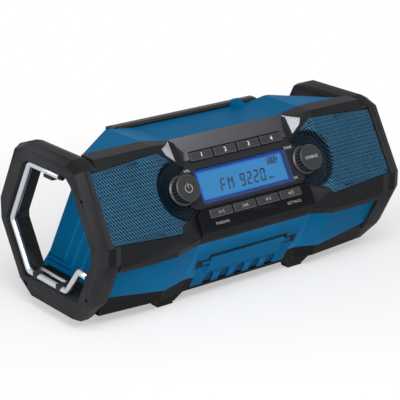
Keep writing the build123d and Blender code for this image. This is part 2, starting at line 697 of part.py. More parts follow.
bezel_half = [
    (62.2, 117.9),
    (62.4, 109.4),
    (69.3, 109.4),
    (70.8, 104.2),
    (79.0, 98.7),
    (82.0, 80.5),
    (79.0, 62.3),
    (71.0, 57.2),
]
bezel_outline = bezel_half + [(-x, v) for x, v in reversed(bezel_half)]
bezel = plate(bezel_outline, PANEL_BACK, BEZEL_FACE)
bezel -= panel_box(0, LCD_V, LCD_WIDTH + 0.6, LCD_HEIGHT + 0.6, LCD_FACE - 1.6, FACE_DEPTH)
bezel -= panel_box(0, LCD_V, LCD_WIDTH - 4, LCD_HEIGHT - 4, BOARD_FACE, FACE_DEPTH)
bezel -= both(stud(KNOB_X, KNOB_V, KNOB_FLANGE_RADIUS - 8.5, BOARD_FACE, FACE_DEPTH, 16))
key_columns = [(i - 1.5) * KEY_PITCH for i in range(4)]
for x in key_columns:
    bezel -= panel_box(x, PRESET_V, KEY_WIDTH + 2 * KEY_GAP, KEY_HEIGHT + 2 * KEY_GAP, BOARD_FACE, FACE_DEPTH)
    bezel -= panel_box(x, PRESET_V, KEY_WIDTH + 1.8, KEY_HEIGHT + 1.6, BOARD_FACE, PANEL_BACK + 3.2)
bezel = bezel.solids().sort_by(SortBy.VOLUME)[-1]

chin_top = 56.6
meet = [
    corners([(180 - FACE_TILT, c), (180 + LOWER_TILT, CENTRE_LOWER_DEPTH)])[0] for c in (CHIN_FACE, PANEL_BACK)
]
chin_profile = [
    face_yz(chin_top, PANEL_BACK),
    face_yz(chin_top, CHIN_FACE - 1.2),
    face_yz(chin_top - 1.4, CHIN_FACE),
    meet[0],
    meet[1],
]
chin_half = [
    (70.1, chin_top + 1),
    (CENTRE_X + 0.5, 50.3),
    (CENTRE_X + 0.5, 10),
]
chin_outline = chin_half + [(-x, v) for x, v in reversed(chin_half)]
chin = prism_yz(chin_profile, -90, 90) & plate(chin_outline, FACE_DEPTH - 53, FACE_DEPTH + 36)
chin -= panel_box(0, 46, 132, 18, PANEL_BACK - 1, CHIN_FACE - 2.5)
for x in key_columns:
    chin -= panel_box(x, FUNCTION_V, KEY_WIDTH + 2 * KEY_GAP, KEY_HEIGHT + 2 * KEY_GAP, BOARD_FACE, FACE_DEPTH + 16)
chin = chin.solids().sort_by(SortBy.VOLUME)[-1]

lcd_window = panel_box(0, LCD_V, LCD_WIDTH, LCD_HEIGHT, LCD_FACE - 1.6, LCD_FACE)
lcd_module = panel_box(0, LCD_V, LCD_WIDTH - 5, LCD_HEIGHT - 5, BOARD_FACE + 4, LCD_FACE - 1.9)
for x in (-54, 54):
    lcd_module += stud(x, LCD_V, 2.5, BOARD_FACE, BOARD_FACE + 5)

main_board = panel_box(0, 80, 190, 92, BOARD_FACE - 1.6, BOARD_FACE)
for x, v in board_screw_spots:
    main_board -= both(stud(x, v, BOARD_SCREW_RADIUS, BOARD_FACE - 8, BOARD_FACE + 2))


def key(x, v, face, wall_back):
    """Key cap with a flange behind the panel and a stem to its switch."""
    cap = panel_box(x, v, KEY_WIDTH, KEY_HEIGHT, wall_back - 0.2, face)
    front = cap.faces().sort_by(axial_axis(x, v))[-1]
    cap = chamfer(front.edges(), 0.6)
    flange = panel_box(x, v, KEY_WIDTH + 1.4, KEY_HEIGHT + 1.2, wall_back - 1.2, wall_back - 0.2)
    stem = panel_box(x, v, 8, 5, BOARD_FACE + 5.2, wall_back - 1.2)
    return cap + flange + stem


preset_keys = [key(x, PRESET_V, PRESET_FACE, PANEL_BACK + 3.2) for x in key_columns]
function_keys = [key(x, FUNCTION_V, FUNCTION_FACE, CHIN_FACE - 2.5) for x in key_columns]
key_switches = Compound(
    [panel_box(x, v, 6, 6, BOARD_FACE, BOARD_FACE + 3.9) for x in key_columns for v in (PRESET_V, FUNCTION_V)]
)

# =========================================================================================
# Rotary controls: encoder on the board, plunger that takes the push, shaft and fluted knob.
# =========================================================================================
def fluted(x, c, radius, depth=1.3, flutes=14):
    """Round outline with shallow flutes, at depth c of the face."""
    pitch = 2 * pi / flutes
    points = []
    for i in range(flutes):
        for share, r in ((-0.36, radius), (0.36, radius), (0.42, radius - depth), (0.58, radius - depth)):
            a = (i + share) * pitch
            points.append((r * cos(a), r * sin(a)))
    return face_plane(c, x, KNOB_V) * make_face(Polyline(*points, close=True))


def rotary(x):
    encoder = panel_box(x, KNOB_V, 12.4, 12.4, BOARD_FACE, PANEL_BACK - 0.3)
    encoder -= panel_box(x, KNOB_V, 8.2, 8.2, BOARD_FACE + 1, BOARD_FACE + 12)
    plunger = panel_box(x, KNOB_V, 8.1, 8.1, BOARD_FACE + 2.2, PANEL_BACK - 1.2)
    plunger -= disc(x, KNOB_V, SHAFT_RADIUS + 0.05, BOARD_FACE, BOARD_FACE + 12)
    shaft = disc(x, KNOB_V, SHAFT_RADIUS, BOARD_FACE + 2.4, KNOB_FACE - 4)
    knob = extrude(fluted(x, KNOB_BASE + 1.2, KNOB_RADIUS), KNOB_FACE - KNOB_RIM - 1.2 - KNOB_BASE)
    cap = stud(x, KNOB_V, KNOB_RADIUS, KNOB_FACE - KNOB_RIM, KNOB_FACE, 28)
    front = cap.faces().sort_by(axial_axis(x, KNOB_V))[-1]
    knob += chamfer(front.edges(), 1.0)
    knob += bell(
        x,
        KNOB_V,
        [
            (KNOB_FLANGE_RADIUS, KNOB_BASE),
            (KNOB_FLANGE_RADIUS, KNOB_BASE + 1.4),
            (KNOB_RADIUS - 1.0, KNOB_BASE + 2.2),
        ],
        28,
    )
    knob -= stud(x, KNOB_V, 11.0, KNOB_BASE - 1, KNOB_BASE + 5, 12)
    knob += stud(x, KNOB_V, 4.8, KNOB_BASE - 2.2, KNOB_BASE + 6, 8)
    knob -= shaft
    return encoder, plunger, shaft, knob


volume_parts = rotary(-KNOB_X)
tuning_parts = rotary(KNOB_X)

# =========================================================================================
# Speakers: pressed basket, paper cone with its surround, magnet.
# =========================================================================================
def speaker(x):
    back = FACE_DEPTH - 6
    edge = SPEAKER_RADIUS
    basket = bell(
        x, KNOB_V, [(edge + 1, back), (edge + 1, back - 1.5), (edge - 1.5, back - 4), (14.5, back - 14.5)]
    )
    basket -= bell(x, KNOB_V, [(edge - 2, back), (edge - 3, back - 3), (13, back - 13)])
    basket -= stud(x, KNOB_V, 7.5, back - 16, back - 10, 12)
    cone = bell(x, KNOB_V, [(edge - 2, back), (edge - 2.7, back - 1.6), (7.2, back - 11.5)])
    cone -= bell(x, KNOB_V, [(edge - 4, back), (10, back - 8.5)])
    cone += bell(x, KNOB_V, [(10.4, back - 8.6), (9, back - 7), (4.5, back - 5.8)], 12)
    cone += stud(x, KNOB_V, 6.4, back - 14.5, back - 11, 12)
    magnet = stud(x, KNOB_V, 15.0, back - 24, back - 14.5, 24)
    return basket, cone, magnet


right_speaker = speaker(SPEAKER_X)
left_speaker = speaker(-SPEAKER_X)

# =========================================================================================
# Antenna: flat whip that lies in the groove and stands up on a pin at its left end.
# =========================================================================================
antenna_section = [
    (ANTENNA_FRONT, ANTENNA_TOP - ANTENNA_HEIGHT),
    (ANTENNA_FRONT, ANTENNA_TOP - 2.2),
    (ANTENNA_FRONT + 2.4, ANTENNA_TOP),
    (ANTENNA_FRONT + ANTENNA_WIDTH, ANTENNA_TOP),
    (ANTENNA_FRONT + ANTENNA_WIDTH, ANTENNA_TOP - ANTENNA_HEIGHT),
]
antenna = prism_yz(antenna_section, pin_x, ANTENNA_RIGHT)
round_end = Pos(pin_x, ANTENNA_FRONT + ANTENNA_WIDTH / 2, pin_z) * Rot(90, 0, 0) * Cylinder(
    ANTENNA_HEIGHT / 2, ANTENNA_WIDTH
)
antenna += round_end
tip_cut = Pos(ANTENNA_RIGHT + 2, ANTENNA_FRONT + 5, ANTENNA_TOP - 0.5) * Rot(0, 35, 0) * Box(12, 30, 6)
antenna -= tip_cut
antenna -= Pos(pin_x, ANTENNA_FRONT + 4, pin_z) * Rot(90, 0, 0) * Cylinder(1.55, 30)
antenna_pin = Pos(pin_x, ANTENNA_FRONT + ANTENNA_WIDTH / 2, pin_z) * Rot(90, 0, 0) * Cylinder(1.5, 15.8)

# =========================================================================================
# Flap over the sockets: raised band along its hinge, arched grip grooves at its lower edge.
# =========================================================================================
flap = lower_box(0, flap_mid, 2 * FLAP_HALF, FLAP_SHOULDER_W - FLAP_BOTTOM_W - 0.6, FLAP_BACK, FLAP_FACE)
flap += lower_box(0, (FLAP_TOP_W + 61) / 2 - 0.4, 2 * FLAP_SHOULDER, FLAP_TOP_W - 61 - 0.8, FLAP_BACK, FLAP_BAND)
flap += hinge_rod(KNUCKLE, KNUCKLE_END)
arch_pitch = 21.5
for i in range(5):
    x = (i - 2) * arch_pitch
    arch = [(-6.25, -9), (6.25, -9), (6.25, 9), (4.6, 12.6), (1.8, 14.4), (-1.8, 14.4), (-4.6, 12.6), (-6.25, 9)]
    flap -= extrude(
        lower_plane(FLAP_FACE - 1.8, x, FLAP_BOTTOM_W + 2) * make_face(Polyline(*arch, close=True)), 6
    )
flap -= hinge_rod(PIN_RADIUS + 0.05, KNUCKLE_END + 5)
flap = flap.solids().sort_by(SortBy.VOLUME)[-1]
flap_pin = hinge_rod(PIN_RADIUS, 5.3)
pin_mid = (KNUCKLE_END - 4.7 + FLAP_HALF + 1.4) / 2
flap_pins = Compound([Pos(pin_mid, 0, 0) * flap_pin, Pos(-pin_mid, 0, 0) * flap_pin])

port_block = lower_box(0, port_mid, 91.6, 13.6, PORT_FLOOR - 14, PORT_FLOOR)
port_block -= extrude(lower_plane(PORT_FLOOR - 12, -34, port_mid) * Circle(1.8), 20)
for x in (-10, 12):
    port_block -= lower_box(x, port_mid, 13.2, 5.6, PORT_FLOOR - 11, PORT_FLOOR + 1)
    port_block += lower_box(x, port_mid + 1.0, 11, 1.8, PORT_FLOOR - 12, PORT_FLOOR - 2)
port_block -= extrude(lower_plane(PORT_FLOOR - 10, 35, port_mid) * Circle(3.0), 20)
port_block += extrude(lower_plane(PORT_FLOOR - 11, 35, port_mid) * Circle(0.8), 9)

# =========================================================================================
# Hook: one bent steel wire folded flat inside the left cage, turning on its lower leg.
# =========================================================================================
hook_route = [
    (HOOK_X, -20.0, 159.2),
    (HOOK_X, 36.5, 159.2),
    (HOOK_X, 75.6, 88.0),
    (HOOK_X, 45.8, HOOK_PIVOT_Z),
    (HOOK_X, -26.0, HOOK_PIVOT_Z),
    (HOOK_X, -50.0, 66.0),
    (HOOK_X, -64.5, 64.6),
]
hook_path = FilletPolyline(*hook_route, radius=[7, 9, 7, 7, 3.4])
hook_wire = sweep(Plane(origin=hook_route[0], z_dir=(0, 1, 0)) * RegularPolygon(WIRE_RADIUS, 12), path=hook_path)
hook_wire += Pos(HOOK_X, 10, HOOK_PIVOT_Z) * Rot(90, 0, 0) * Cylinder(WIRE_RADIUS, 62)
hook_tip = Pos(HOOK_X, -22.2, 159.2) * Rot(90, 0, 0) * Cylinder(WIRE_RADIUS + 0.35, 4.4)
hook_clip = box(HOOK_X - 3, HOOK_X + 8.5, -9, 7, 152.6, 156.0)
hook_clip += box(HOOK_X + 3.4, HOOK_X + 8.5, -9, 7, 152.6, 168)
hook_clip -= left_cage
hook_clip = hook_clip.solids().sort_by(SortBy.VOLUME)[-1]
guard_rod = Pos(ROD_X, 15, ROD_Z) * Rot(90, 0, 0) * Cylinder(ROD_RADIUS, 66)

# =========================================================================================
# Battery bay: dock plate with its two rails and the contact block.
# =========================================================================================
dock = box(-DOCK_HALF + 2, DOCK_HALF - 2, DOCK_FLOOR_Y, DOCK_FLOOR_Y + 5, DOCK_LOW, DOCK_HIGH)
rail_profile = [(26, 0), (43, 0), (43, 12), (31, 12), (31, 8.5), (38, 8.5), (38, 4.5), (26, 4.5)]
rail = extrude(
    Plane(origin=(0, DOCK_FLOOR_Y + 5, DOCK_LOW), x_dir=(1, 0, 0), z_dir=(0, 0, 1))
    * make_face(Polyline(*rail_profile, close=True)),
    84,
)
dock += both(rail)
dock = dock & blue_body
dock = dock.solids().sort_by(SortBy.VOLUME)[-1]
contact_block = box(-18, 18, DOCK_FLOOR_Y + 5, DOCK_FLOOR_Y + 13, DOCK_LOW + 2, DOCK_LOW + 30)
battery_contacts = Compound(
    [box(x - 0.5, x + 0.5, DOCK_FLOOR_Y + 13, DOCK_FLOOR_Y + 18, DOCK_LOW + 6, DOCK_LOW + 22) for x in (-12, -4, 4, 12)]
)

# =========================================================================================
# Screws: shank and pan head. Cages from inside the body, frame from under the grilles.
# =========================================================================================
cage_screws = []
for y, z in cage_screw_spots:
    screw = stud_x(164.0, 187.0, y, z, SCREW_RADIUS) + stud_x(161.4, 164.0, y, z, 3.6)
    cage_screws += [screw, flip(screw)]
frame_screws = []
for x, v in frame_screw_spots:
    screw = stud(x, v, FRAME_SCREW_RADIUS, PARTING - 13, FRAME_SCREW_SEAT)
    screw += stud(x, v, 3.0, FRAME_SCREW_SEAT, FRAME_SCREW_SEAT + 2.4)
    frame_screws += [screw, flip(screw)]
board_screws = []
for x, v in board_screw_spots:
    screw = stud(x, v, BOARD_SCREW_RADIUS, BOARD_FACE - 1.6, BOARD_FACE + 5)
    screw += stud(x, v, 2.4, BOARD_FACE - 3.2, BOARD_FACE - 1.6)
    board_screws += [screw, flip(screw)]

pieces = {
    "left_cage": left_cage,
    "right_cage": right_cage,
    "rear_housing": rear_housing,
    "lower_front": lower_front,
    "left_end_panel": left_end_panel,
    "right_end_panel": right_end_panel,
    "battery_bay": battery_bay,
    "socket_tray": socket_tray,
    "base_shell": base,
    "rubber_feet": rubber_feet,
    "front_frame": front_frame,
    "left_grille": left_grille,
    "right_grille": right_grille,
    "visor_panel": visor,
    "display_bezel": bezel,
    "chin_panel": chin,
    "lcd_window": lcd_window,
    "lcd_module": lcd_module,
    "main_board": main_board,
    "key_switches": key_switches,
    "left_speaker_basket": left_speaker[0],
    "left_speaker_cone": left_speaker[1],
    "left_speaker_magnet": left_speaker[2],
    "right_speaker_basket": right_speaker[0],
    "right_speaker_cone": right_speaker[1],
    "right_speaker_magnet": right_speaker[2],
    "volume_encoder": volume_parts[0],
    "volume_plunger": volume_parts[1],
    "volume_shaft": volume_parts[2],
    "volume_knob": volume_parts[3],
    "tuning_encoder": tuning_parts[0],
    "tuning_plunger": tuning_parts[1],
    "tuning_shaft": tuning_parts[2],
    "tuning_knob": tuning_parts[3],
    "antenna": antenna,
    "antenna_pin": antenna_pin,
    "port_flap": flap,
    "flap_pins": flap_pins,
    "port_block": port_block,
    "hook_wire": hook_wire,
    "hook_tip": hook_tip,
    "hook_clip": hook_clip,
    "guard_rod": guard_rod,
    "battery_dock": dock,
    "contact_block": contact_block,
    "battery_contacts": battery_contacts,
    "cage_screws": Compound(cage_screws),
    "frame_screws": Compound(frame_screws),
    "board_screws": Compound(board_screws),
}
for i in range(4):
    pieces[f"preset_key_{i + 1}"] = preset_keys[i]
    pieces[f"function_key_{i + 1}"] = function_keys[i]
for name, shape in pieces.items():
    save(name, shape)
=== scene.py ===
import bpy
import bmesh
import json
from math import atan2, copysign, cos, hypot, pi, radians, sin, sqrt, tan
from mathutils import Euler, Matrix, Vector

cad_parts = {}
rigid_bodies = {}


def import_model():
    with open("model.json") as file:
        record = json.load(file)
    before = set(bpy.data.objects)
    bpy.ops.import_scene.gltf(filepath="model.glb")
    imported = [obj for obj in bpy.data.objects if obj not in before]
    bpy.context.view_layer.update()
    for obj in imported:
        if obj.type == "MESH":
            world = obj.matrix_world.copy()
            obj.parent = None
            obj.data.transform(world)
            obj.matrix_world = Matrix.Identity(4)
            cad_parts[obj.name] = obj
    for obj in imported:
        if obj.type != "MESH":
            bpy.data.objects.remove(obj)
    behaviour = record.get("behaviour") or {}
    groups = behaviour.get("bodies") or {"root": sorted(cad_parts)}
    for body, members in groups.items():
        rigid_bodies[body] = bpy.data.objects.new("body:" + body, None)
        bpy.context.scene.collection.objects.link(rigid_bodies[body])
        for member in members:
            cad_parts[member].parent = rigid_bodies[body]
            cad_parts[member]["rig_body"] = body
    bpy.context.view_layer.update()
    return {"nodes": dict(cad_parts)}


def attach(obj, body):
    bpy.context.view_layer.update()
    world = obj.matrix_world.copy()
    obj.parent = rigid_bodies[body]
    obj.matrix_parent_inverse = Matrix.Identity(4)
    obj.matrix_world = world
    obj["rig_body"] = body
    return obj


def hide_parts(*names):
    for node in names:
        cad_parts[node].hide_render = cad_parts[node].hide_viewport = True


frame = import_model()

radio = frame["nodes"]
scene = bpy.context.scene

# ---- Camera -------------------------------------------------------------------------
# Stands in front of the radio's left corner, a little above it, with a long lens.
camera_data = bpy.data.cameras.new("camera")
camera_data.sensor_width = 36.0
camera_data.lens = 138.1
camera = bpy.data.objects.new("camera", camera_data)
camera.location = (-0.98660, -1.25212, 0.64835)
camera.rotation_euler = Euler((radians(70.55), 0.0, radians(-38.04)))
scene.collection.objects.link(camera)
bpy.context.scene.camera = camera

# ---- Studio -------------------------------------------------------------------------
# White sweep of seamless paper under the radio, lit by large soft boxes. The paper shows
# white to the camera, to metal and to glass, and keeps the radio's shadow.
scene.view_settings.view_transform = "Standard"


def feed(tree, value, socket):
    """Give a socket its value: another socket's, or a plain number or colour."""
    if isinstance(value, bpy.types.NodeSocket):
        tree.links.new(value, socket)
    else:
        socket.default_value = value


def add(tree, kind, **settings):
    """New shader node with its settings."""
    node = tree.nodes.new("ShaderNode" + kind)
    for name, value in settings.items():
        setattr(node, name, value)
    return node


def reckon(tree, operation, *values):
    """Math node on sockets or plain numbers."""
    node = add(tree, "Math", operation=operation)
    for socket, value in zip(node.inputs, values):
        feed(tree, value, socket)
    return node.outputs[0]


def ranged(tree, value, span=(0, 1), to=(0, 1), ease="LINEAR"):
    """A value brought from one span to another."""
    node = add(tree, "MapRange", interpolation_type=ease)
    feed(tree, value, node.inputs["Value"])
    for name, limit in zip(("From Min", "From Max", "To Min", "To Max"), (*span, *to)):
        feed(tree, limit, node.inputs[name])
    return node.outputs["Result"]


def new_material(name):
    """Fresh material, with its node tree and shader at hand."""
    material = bpy.data.materials.new(name)
    material.use_nodes = True
    tree = material.node_tree
    return material, tree, tree.nodes["Principled BSDF"]


def seen_white(tree):
    """Mask of the rays that see the backdrop: straight, mirrored, or through glass."""
    ray = add(tree, "LightPath").outputs
    bright = reckon(tree, "MAXIMUM", ray["Is Camera Ray"], ray["Is Glossy Ray"])
    return reckon(tree, "MAXIMUM", bright, ray["Is Transmission Ray"])


def blended(tree, mask, dark, bright, output):
    """Mix two shaders by a mask into the output."""
    blend = add(tree, "MixShader")
    for value, socket in zip((mask, dark, bright), blend.inputs):
        tree.links.new(value, socket)
    tree.links.new(blend.outputs[0], output)


world = bpy.data.worlds.new("studio")
scene.world = world
world.use_nodes = True
tree = world.node_tree
room = tree.nodes["Background"]
room.inputs["Color"].default_value = (0.86, 0.9, 1.0, 1)
room.inputs["Strength"].default_value = 0.24
backdrop = add(tree, "Background")
backdrop.inputs["Color"].default_value = (1, 1, 1, 1)
out = tree.nodes["World Output"].inputs[0]
blended(tree, seen_white(tree), room.outputs[0], backdrop.outputs[0], out)

PAPER_HALF = 6.0
SHADOW_REACH = (0.12, 0.62)
SHADOW_SHARE = (0.45, 1.0)
bm = bmesh.new()
bmesh.ops.create_grid(bm, x_segments=1, y_segments=1, size=PAPER_HALF)
paper_mesh = bpy.data.meshes.new("paper")
bm.to_mesh(paper_mesh)
bm.free()
paper = bpy.data.objects.new("paper", paper_mesh)
scene.collection.objects.link(paper)
paper_white, tree, matt_paper = new_material("paper_white")
matt_paper.inputs["Base Color"].default_value = (0.9, 0.9, 0.9, 1)
matt_paper.inputs["Roughness"].default_value = 0.9
matt_paper.inputs["Specular IOR Level"].default_value = 0.0
white = add(tree, "Emission")
reach = add(tree, "VectorMath", operation="LENGTH")
tree.links.new(add(tree, "TexCoord").outputs["Object"], reach.inputs[0])
fade = ranged(tree, reach.outputs["Value"], SHADOW_REACH, SHADOW_SHARE, "SMOOTHSTEP")
share = reckon(tree, "MULTIPLY", fade, seen_white(tree))
out = tree.nodes["Material Output"].inputs["Surface"]
blended(tree, share, matt_paper.outputs[0], white.outputs[0], out)
paper_mesh.materials.append(paper_white)

LAMP_TARGET = Vector((0, 0, 0.09))


def soft_box(name, size, power, place):
    """Large rectangular studio lamp that faces the radio."""
    lamp = bpy.data.lights.new(name, "AREA")
    lamp.shape = "RECTANGLE"
    lamp.size, lamp.size_y = size
    lamp.energy = power
    holder = bpy.data.objects.new(name, lamp)
    holder.location = place
    holder.rotation_euler = (LAMP_TARGET - Vector(place)).to_track_quat("-Z", "Y").to_euler()
    scene.collection.objects.link(holder)


soft_box("top_box", (1.3, 0.9), 27, (-0.5, -1.0, 1.4))
soft_box("front_box", (0.7, 0.5), 4.5, (-0.9, -1.5, 0.5))
soft_box("left_box", (0.6, 0.9), 10, (-1.9, -0.4, 0.8))

# ---- Roll cages -----------------------------------------------------------------------
# Two hexagonal loops moulded in black glass-filled nylon, one at each end. They take the knocks
# and serve as handles. Their skin is lightly grained and scuffed along the edges, and the broken
# edges carry a painted highlight in a paler colour.


def noise(tree, scale, detail=2.0):
    """Cloudy noise on the object's own coordinates."""
    cloud = add(tree, "TexNoise")
    cloud.inputs["Detail"].default_value = detail
    feed(tree, scale, cloud.inputs["Scale"])
    tree.links.new(add(tree, "TexCoord").outputs["Object"], cloud.inputs["Vector"])
    return cloud.outputs["Fac"]


def mixed(tree, share, a, b, blend="MIX"):
    """Two colours mixed by a share."""
    mix = add(tree, "Mix", data_type="RGBA", blend_type=blend)
    for value, name in ((share, "Factor"), (a, "A"), (b, "B")):
        feed(tree, value, mix.inputs[name])
    return mix.outputs["Result"]


def effect(name, takes, gives):
    """Empty node group for an effect that several materials share, with its named sockets."""
    group = bpy.data.node_groups.new(name, "ShaderNodeTree")
    for direction, sockets in (("INPUT", takes), ("OUTPUT", gives)):
        for label, kind in sockets.items():
            group.interface.new_socket(label, in_out=direction, socket_type="NodeSocket" + kind)
    given = group.nodes.new("NodeGroupInput").outputs
    return group, given, group.nodes.new("NodeGroupOutput").inputs


def placed(tree, group, values):
    """An effect placed in a material with its own values."""
    node = add(tree, "Group", node_tree=group)
    for name, value in values.items():
        feed(tree, value, node.inputs[name])
    return node.outputs


# Moulded skin: fine grain for roughness and height, slow drift of tone, and a worn mask
# along edges from how the surface bends.
moulded_skin, given, out = effect(
    "moulded_skin",
    {
        "Base": "Color",
        "Worn": "Color",
        "Grain size": "Float",
        "Wear": "Float",
        "Smooth": "Float",
        "Rough": "Float",
    },
    {"Color": "Color", "Roughness": "Float", "Height": "Float"},
)
fine = noise(moulded_skin, given["Grain size"], 3)
drift = noise(moulded_skin, 18, 4)
bend = add(moulded_skin, "NewGeometry").outputs["Pointiness"]
broken = reckon(moulded_skin, "MULTIPLY", ranged(moulded_skin, bend, (0.54, 0.66)), drift)
worn_and_shaded = add(moulded_skin, "Math", operation="MULTIPLY", use_clamp=True)
feed(moulded_skin, broken, worn_and_shaded.inputs[0])
feed(moulded_skin, given["Wear"], worn_and_shaded.inputs[1])
tone = add(moulded_skin, "HueSaturation")
feed(moulded_skin, ranged(moulded_skin, drift, to=(0.9, 1.12)), tone.inputs["Value"])
feed(moulded_skin, given["Base"], tone.inputs["Color"])
rubbed = mixed(moulded_skin, worn_and_shaded.outputs[0], tone.outputs["Color"], given["Worn"])
feed(moulded_skin, rubbed, out["Color"])
grained = ranged(moulded_skin, fine, to=(given["Smooth"], given["Rough"]))
feed(moulded_skin, grained, out["Roughness"])
feed(moulded_skin, fine, out["Height"])


def moulded(
    name, base, worn_and_shaded, grain=900.0, wear_and_shade=1.0, smooth=0.45, rough=0.62, bump=0.25, specular=0.22
):
    """Injection-moulded plastic with its own colour, grain and amount of wear."""
    material, tree, shader = new_material(name)
    shader.inputs["Specular IOR Level"].default_value = specular
    skin = placed(tree, moulded_skin, {
        "Base": (*base, 1),
        "Worn": (*worn_and_shaded, 1),
        "Grain size": grain,
        "Wear": wear_and_shade,
        "Smooth": smooth,
        "Rough": rough,
    })
    tree.links.new(skin["Color"], shader.inputs["Base Color"])
    tree.links.new(skin["Roughness"], shader.inputs["Roughness"])
    relief = add(tree, "Bump")
    relief.inputs["Strength"].default_value = bump
    relief.inputs["Distance"].default_value = 0.0002
    tree.links.new(skin["Height"], relief.inputs["Height"])
    tree.links.new(relief.outputs["Normal"], shader.inputs["Normal"])
    return material


def rounded(node, material, width, edge=None, angle=8, also=(), joined=(), seam=None):
    """Copy of a moulded piece with its sharp edges broken by a small radius, as a tool leaves
    them, and painted a little paler there as a painted highlight. The copy stands for the solid,
    and rides with it. Solids that are one moulding are joined, and their faces on the seam between
    them taken out."""
    bm = bmesh.new()
    for part in (node, *joined):
        bm.from_mesh(radio[part].data)
    bmesh.ops.remove_doubles(bm, verts=bm.verts, dist=2e-6)
    if seam:
        inner = [f for f in bm.faces if all(abs(abs(v.co.x) - seam) < 2e-5 for v in f.verts)]
        bmesh.ops.delete(bm, geom=inner, context="FACES_ONLY")
    bmesh.ops.dissolve_limit(
        bm, angle_limit=radians(0.6), verts=bm.verts, edges=bm.edges, delimit={"NORMAL"}
    )
    mesh = bpy.data.meshes.new(node + "_skin")
    bm.to_mesh(mesh)
    bm.free()
    for name in ("custom_normal", "sharp_face", "sharp_edge"):
        if name in mesh.attributes:
            mesh.attributes.remove(mesh.attributes[name])
    mesh.materials.clear()
    for finish in (material, *also, edge or material):
        mesh.materials.append(finish)
    for face in mesh.polygons:
        face.material_index = 0
        face.use_smooth = True
    piece = bpy.data.objects.new(node + "_skin", mesh)
    scene.collection.objects.link(piece)
    bevel = piece.modifiers.new("edges", "BEVEL")
    bevel.width = width / 1000
    bevel.segments = 2
    bevel.limit_method = "ANGLE"
    bevel.angle_limit = radians(angle)
    bevel.material = len(mesh.materials) - 1
    bevel.harden_normals = True
    bevel.use_clamp_overlap = True
    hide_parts(node, *joined)
    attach(piece, radio[node]["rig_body"])
    return piece


cage_black = moulded("cage_black", (0.0085, 0.0088, 0.0098), (0.04, 0.042, 0.046), specular=0.07)
# Paler colour for the broken edges of black mouldings: a painted highlight.
cage_edge_highlight = moulded("cage_edge_highlight", (0.06, 0.061, 0.066), (0.1, 0.1, 0.105), smooth=0.35, rough=0.5)
left_cage = rounded("left_cage", cage_black, 0.7, cage_edge_highlight)
right_cage = rounded("right_cage", cage_black, 0.7, cage_edge_highlight)

# ---- Body shells ------------------------------------------------------------------------
# Blue rear shell with the top deck and stepped end walls, and the black lower shell with
# its legs. Both are injection-moulded and screwed together from inside.
housing_blue = moulded(
    "housing_blue",
    (0.001, 0.098, 0.225),
    (0.02, 0.18, 0.38),
    smooth=0.36,
    rough=0.5,
    specular=0.012,
)
# Paler blue for the broken edges of the blue mouldings: a painted highlight.
blue_edge_highlight = moulded(
    "blue_edge_highlight", (0.02, 0.2, 0.42), (0.1, 0.3, 0.5), smooth=0.3, rough=0.42, specular=0.3
)

# Painted shade in the corners of the end walls' steps, and painted highlights along their edges.
# Each step is the place of its slanted side and the height of its level one. The painted shade and
# highlight beside a side is pairs of share across the 10 mm strip and tone there.
END_STEPS = ((0.0458, 0.0505), (0.029, 0.046), (0.012, 0.041))
SLANTED_SHADE = ((0.0, 1), (0.3, 1.6), (0.39, 1.5), (0.43, 0.45), (0.75, 1))
LEVEL_SHADE = ((0.0, 1), (0.05, 0.6), (0.26, 0.5), (0.3, 1.5), (0.42, 1.6), (0.5, 1))
SHADE_BEFORE, SHADE_BEHIND = 0.004, 0.006
END_WALL_X, SEAM_X = 0.166, 0.164


def turned(tree, degrees=0):
    """The object's own coordinates, turned about X: X, Y and Z apart."""
    turn = add(tree, "Mapping")
    turn.inputs["Rotation"].default_value = (radians(degrees), 0, 0)
    tree.links.new(add(tree, "TexCoord").outputs["Object"], turn.inputs["Vector"])
    apart = add(tree, "SeparateXYZ")
    tree.links.new(turn.outputs["Vector"], apart.inputs[0])
    return apart.outputs


def step_shade_line(tree, tone, across, line, wear_and_shade, along, start):
    """Tone with the painted shade and highlight beside one side of a step, where the side runs
    past its start. A curve holds no more than 1, so the tones are halved on the way through it."""
    near = ranged(tree, across, (line - SHADE_BEFORE, line + SHADE_BEHIND))
    worn_and_shaded = add(tree, "FloatCurve")
    curve = worn_and_shaded.mapping.curves[0]
    for spot, level in wear_and_shade[1:]:
        curve.points.new(spot, level / 2)
    curve.points[0].location = (0, wear_and_shade[0][1] / 2)
    curve.points[-1].location = (1, wear_and_shade[-1][1] / 2)
    for point in curve.points:
        point.handle_type = "VECTOR"
    worn_and_shaded.mapping.update()
    tree.links.new(near, worn_and_shaded.inputs["Value"])
    keep = add(tree, "Mix")
    feed(tree, reckon(tree, "GREATER_THAN", along, start), keep.inputs["Factor"])
    feed(tree, 0.5, keep.inputs["A"])
    feed(tree, worn_and_shaded.outputs[0], keep.inputs["B"])
    level = reckon(tree, "MULTIPLY", keep.outputs["Result"], 2.0)
    return mixed(tree, 1.0, tone, level, "MULTIPLY")


# Blue of the end walls, with painted shade in the step corners and painted highlights on the step
# edges.
end_blue_shaded = housing_blue.copy()
end_blue_shaded.name = "end_blue_shaded"
tree = end_blue_shaded.node_tree
base_colour = tree.nodes["Principled BSDF"].inputs["Base Color"]
tone = base_colour.links[0].from_socket
slanted, height = turned(tree, -30)["Y"], turned(tree)["Z"]
for slant_line, level_line in END_STEPS:
    tone = step_shade_line(tree, tone, slanted, slant_line, SLANTED_SHADE, height, level_line)
    tone = step_shade_line(tree, tone, height, level_line, LEVEL_SHADE, slanted, slant_line)
tree.links.new(tone, base_colour)

housing = rounded(
    "rear_housing",
    housing_blue,
    0.5,
    blue_edge_highlight,
    joined=("lower_front", "left_end_panel", "right_end_panel"),
    seam=SEAM_X,
    also=(end_blue_shaded,),
)
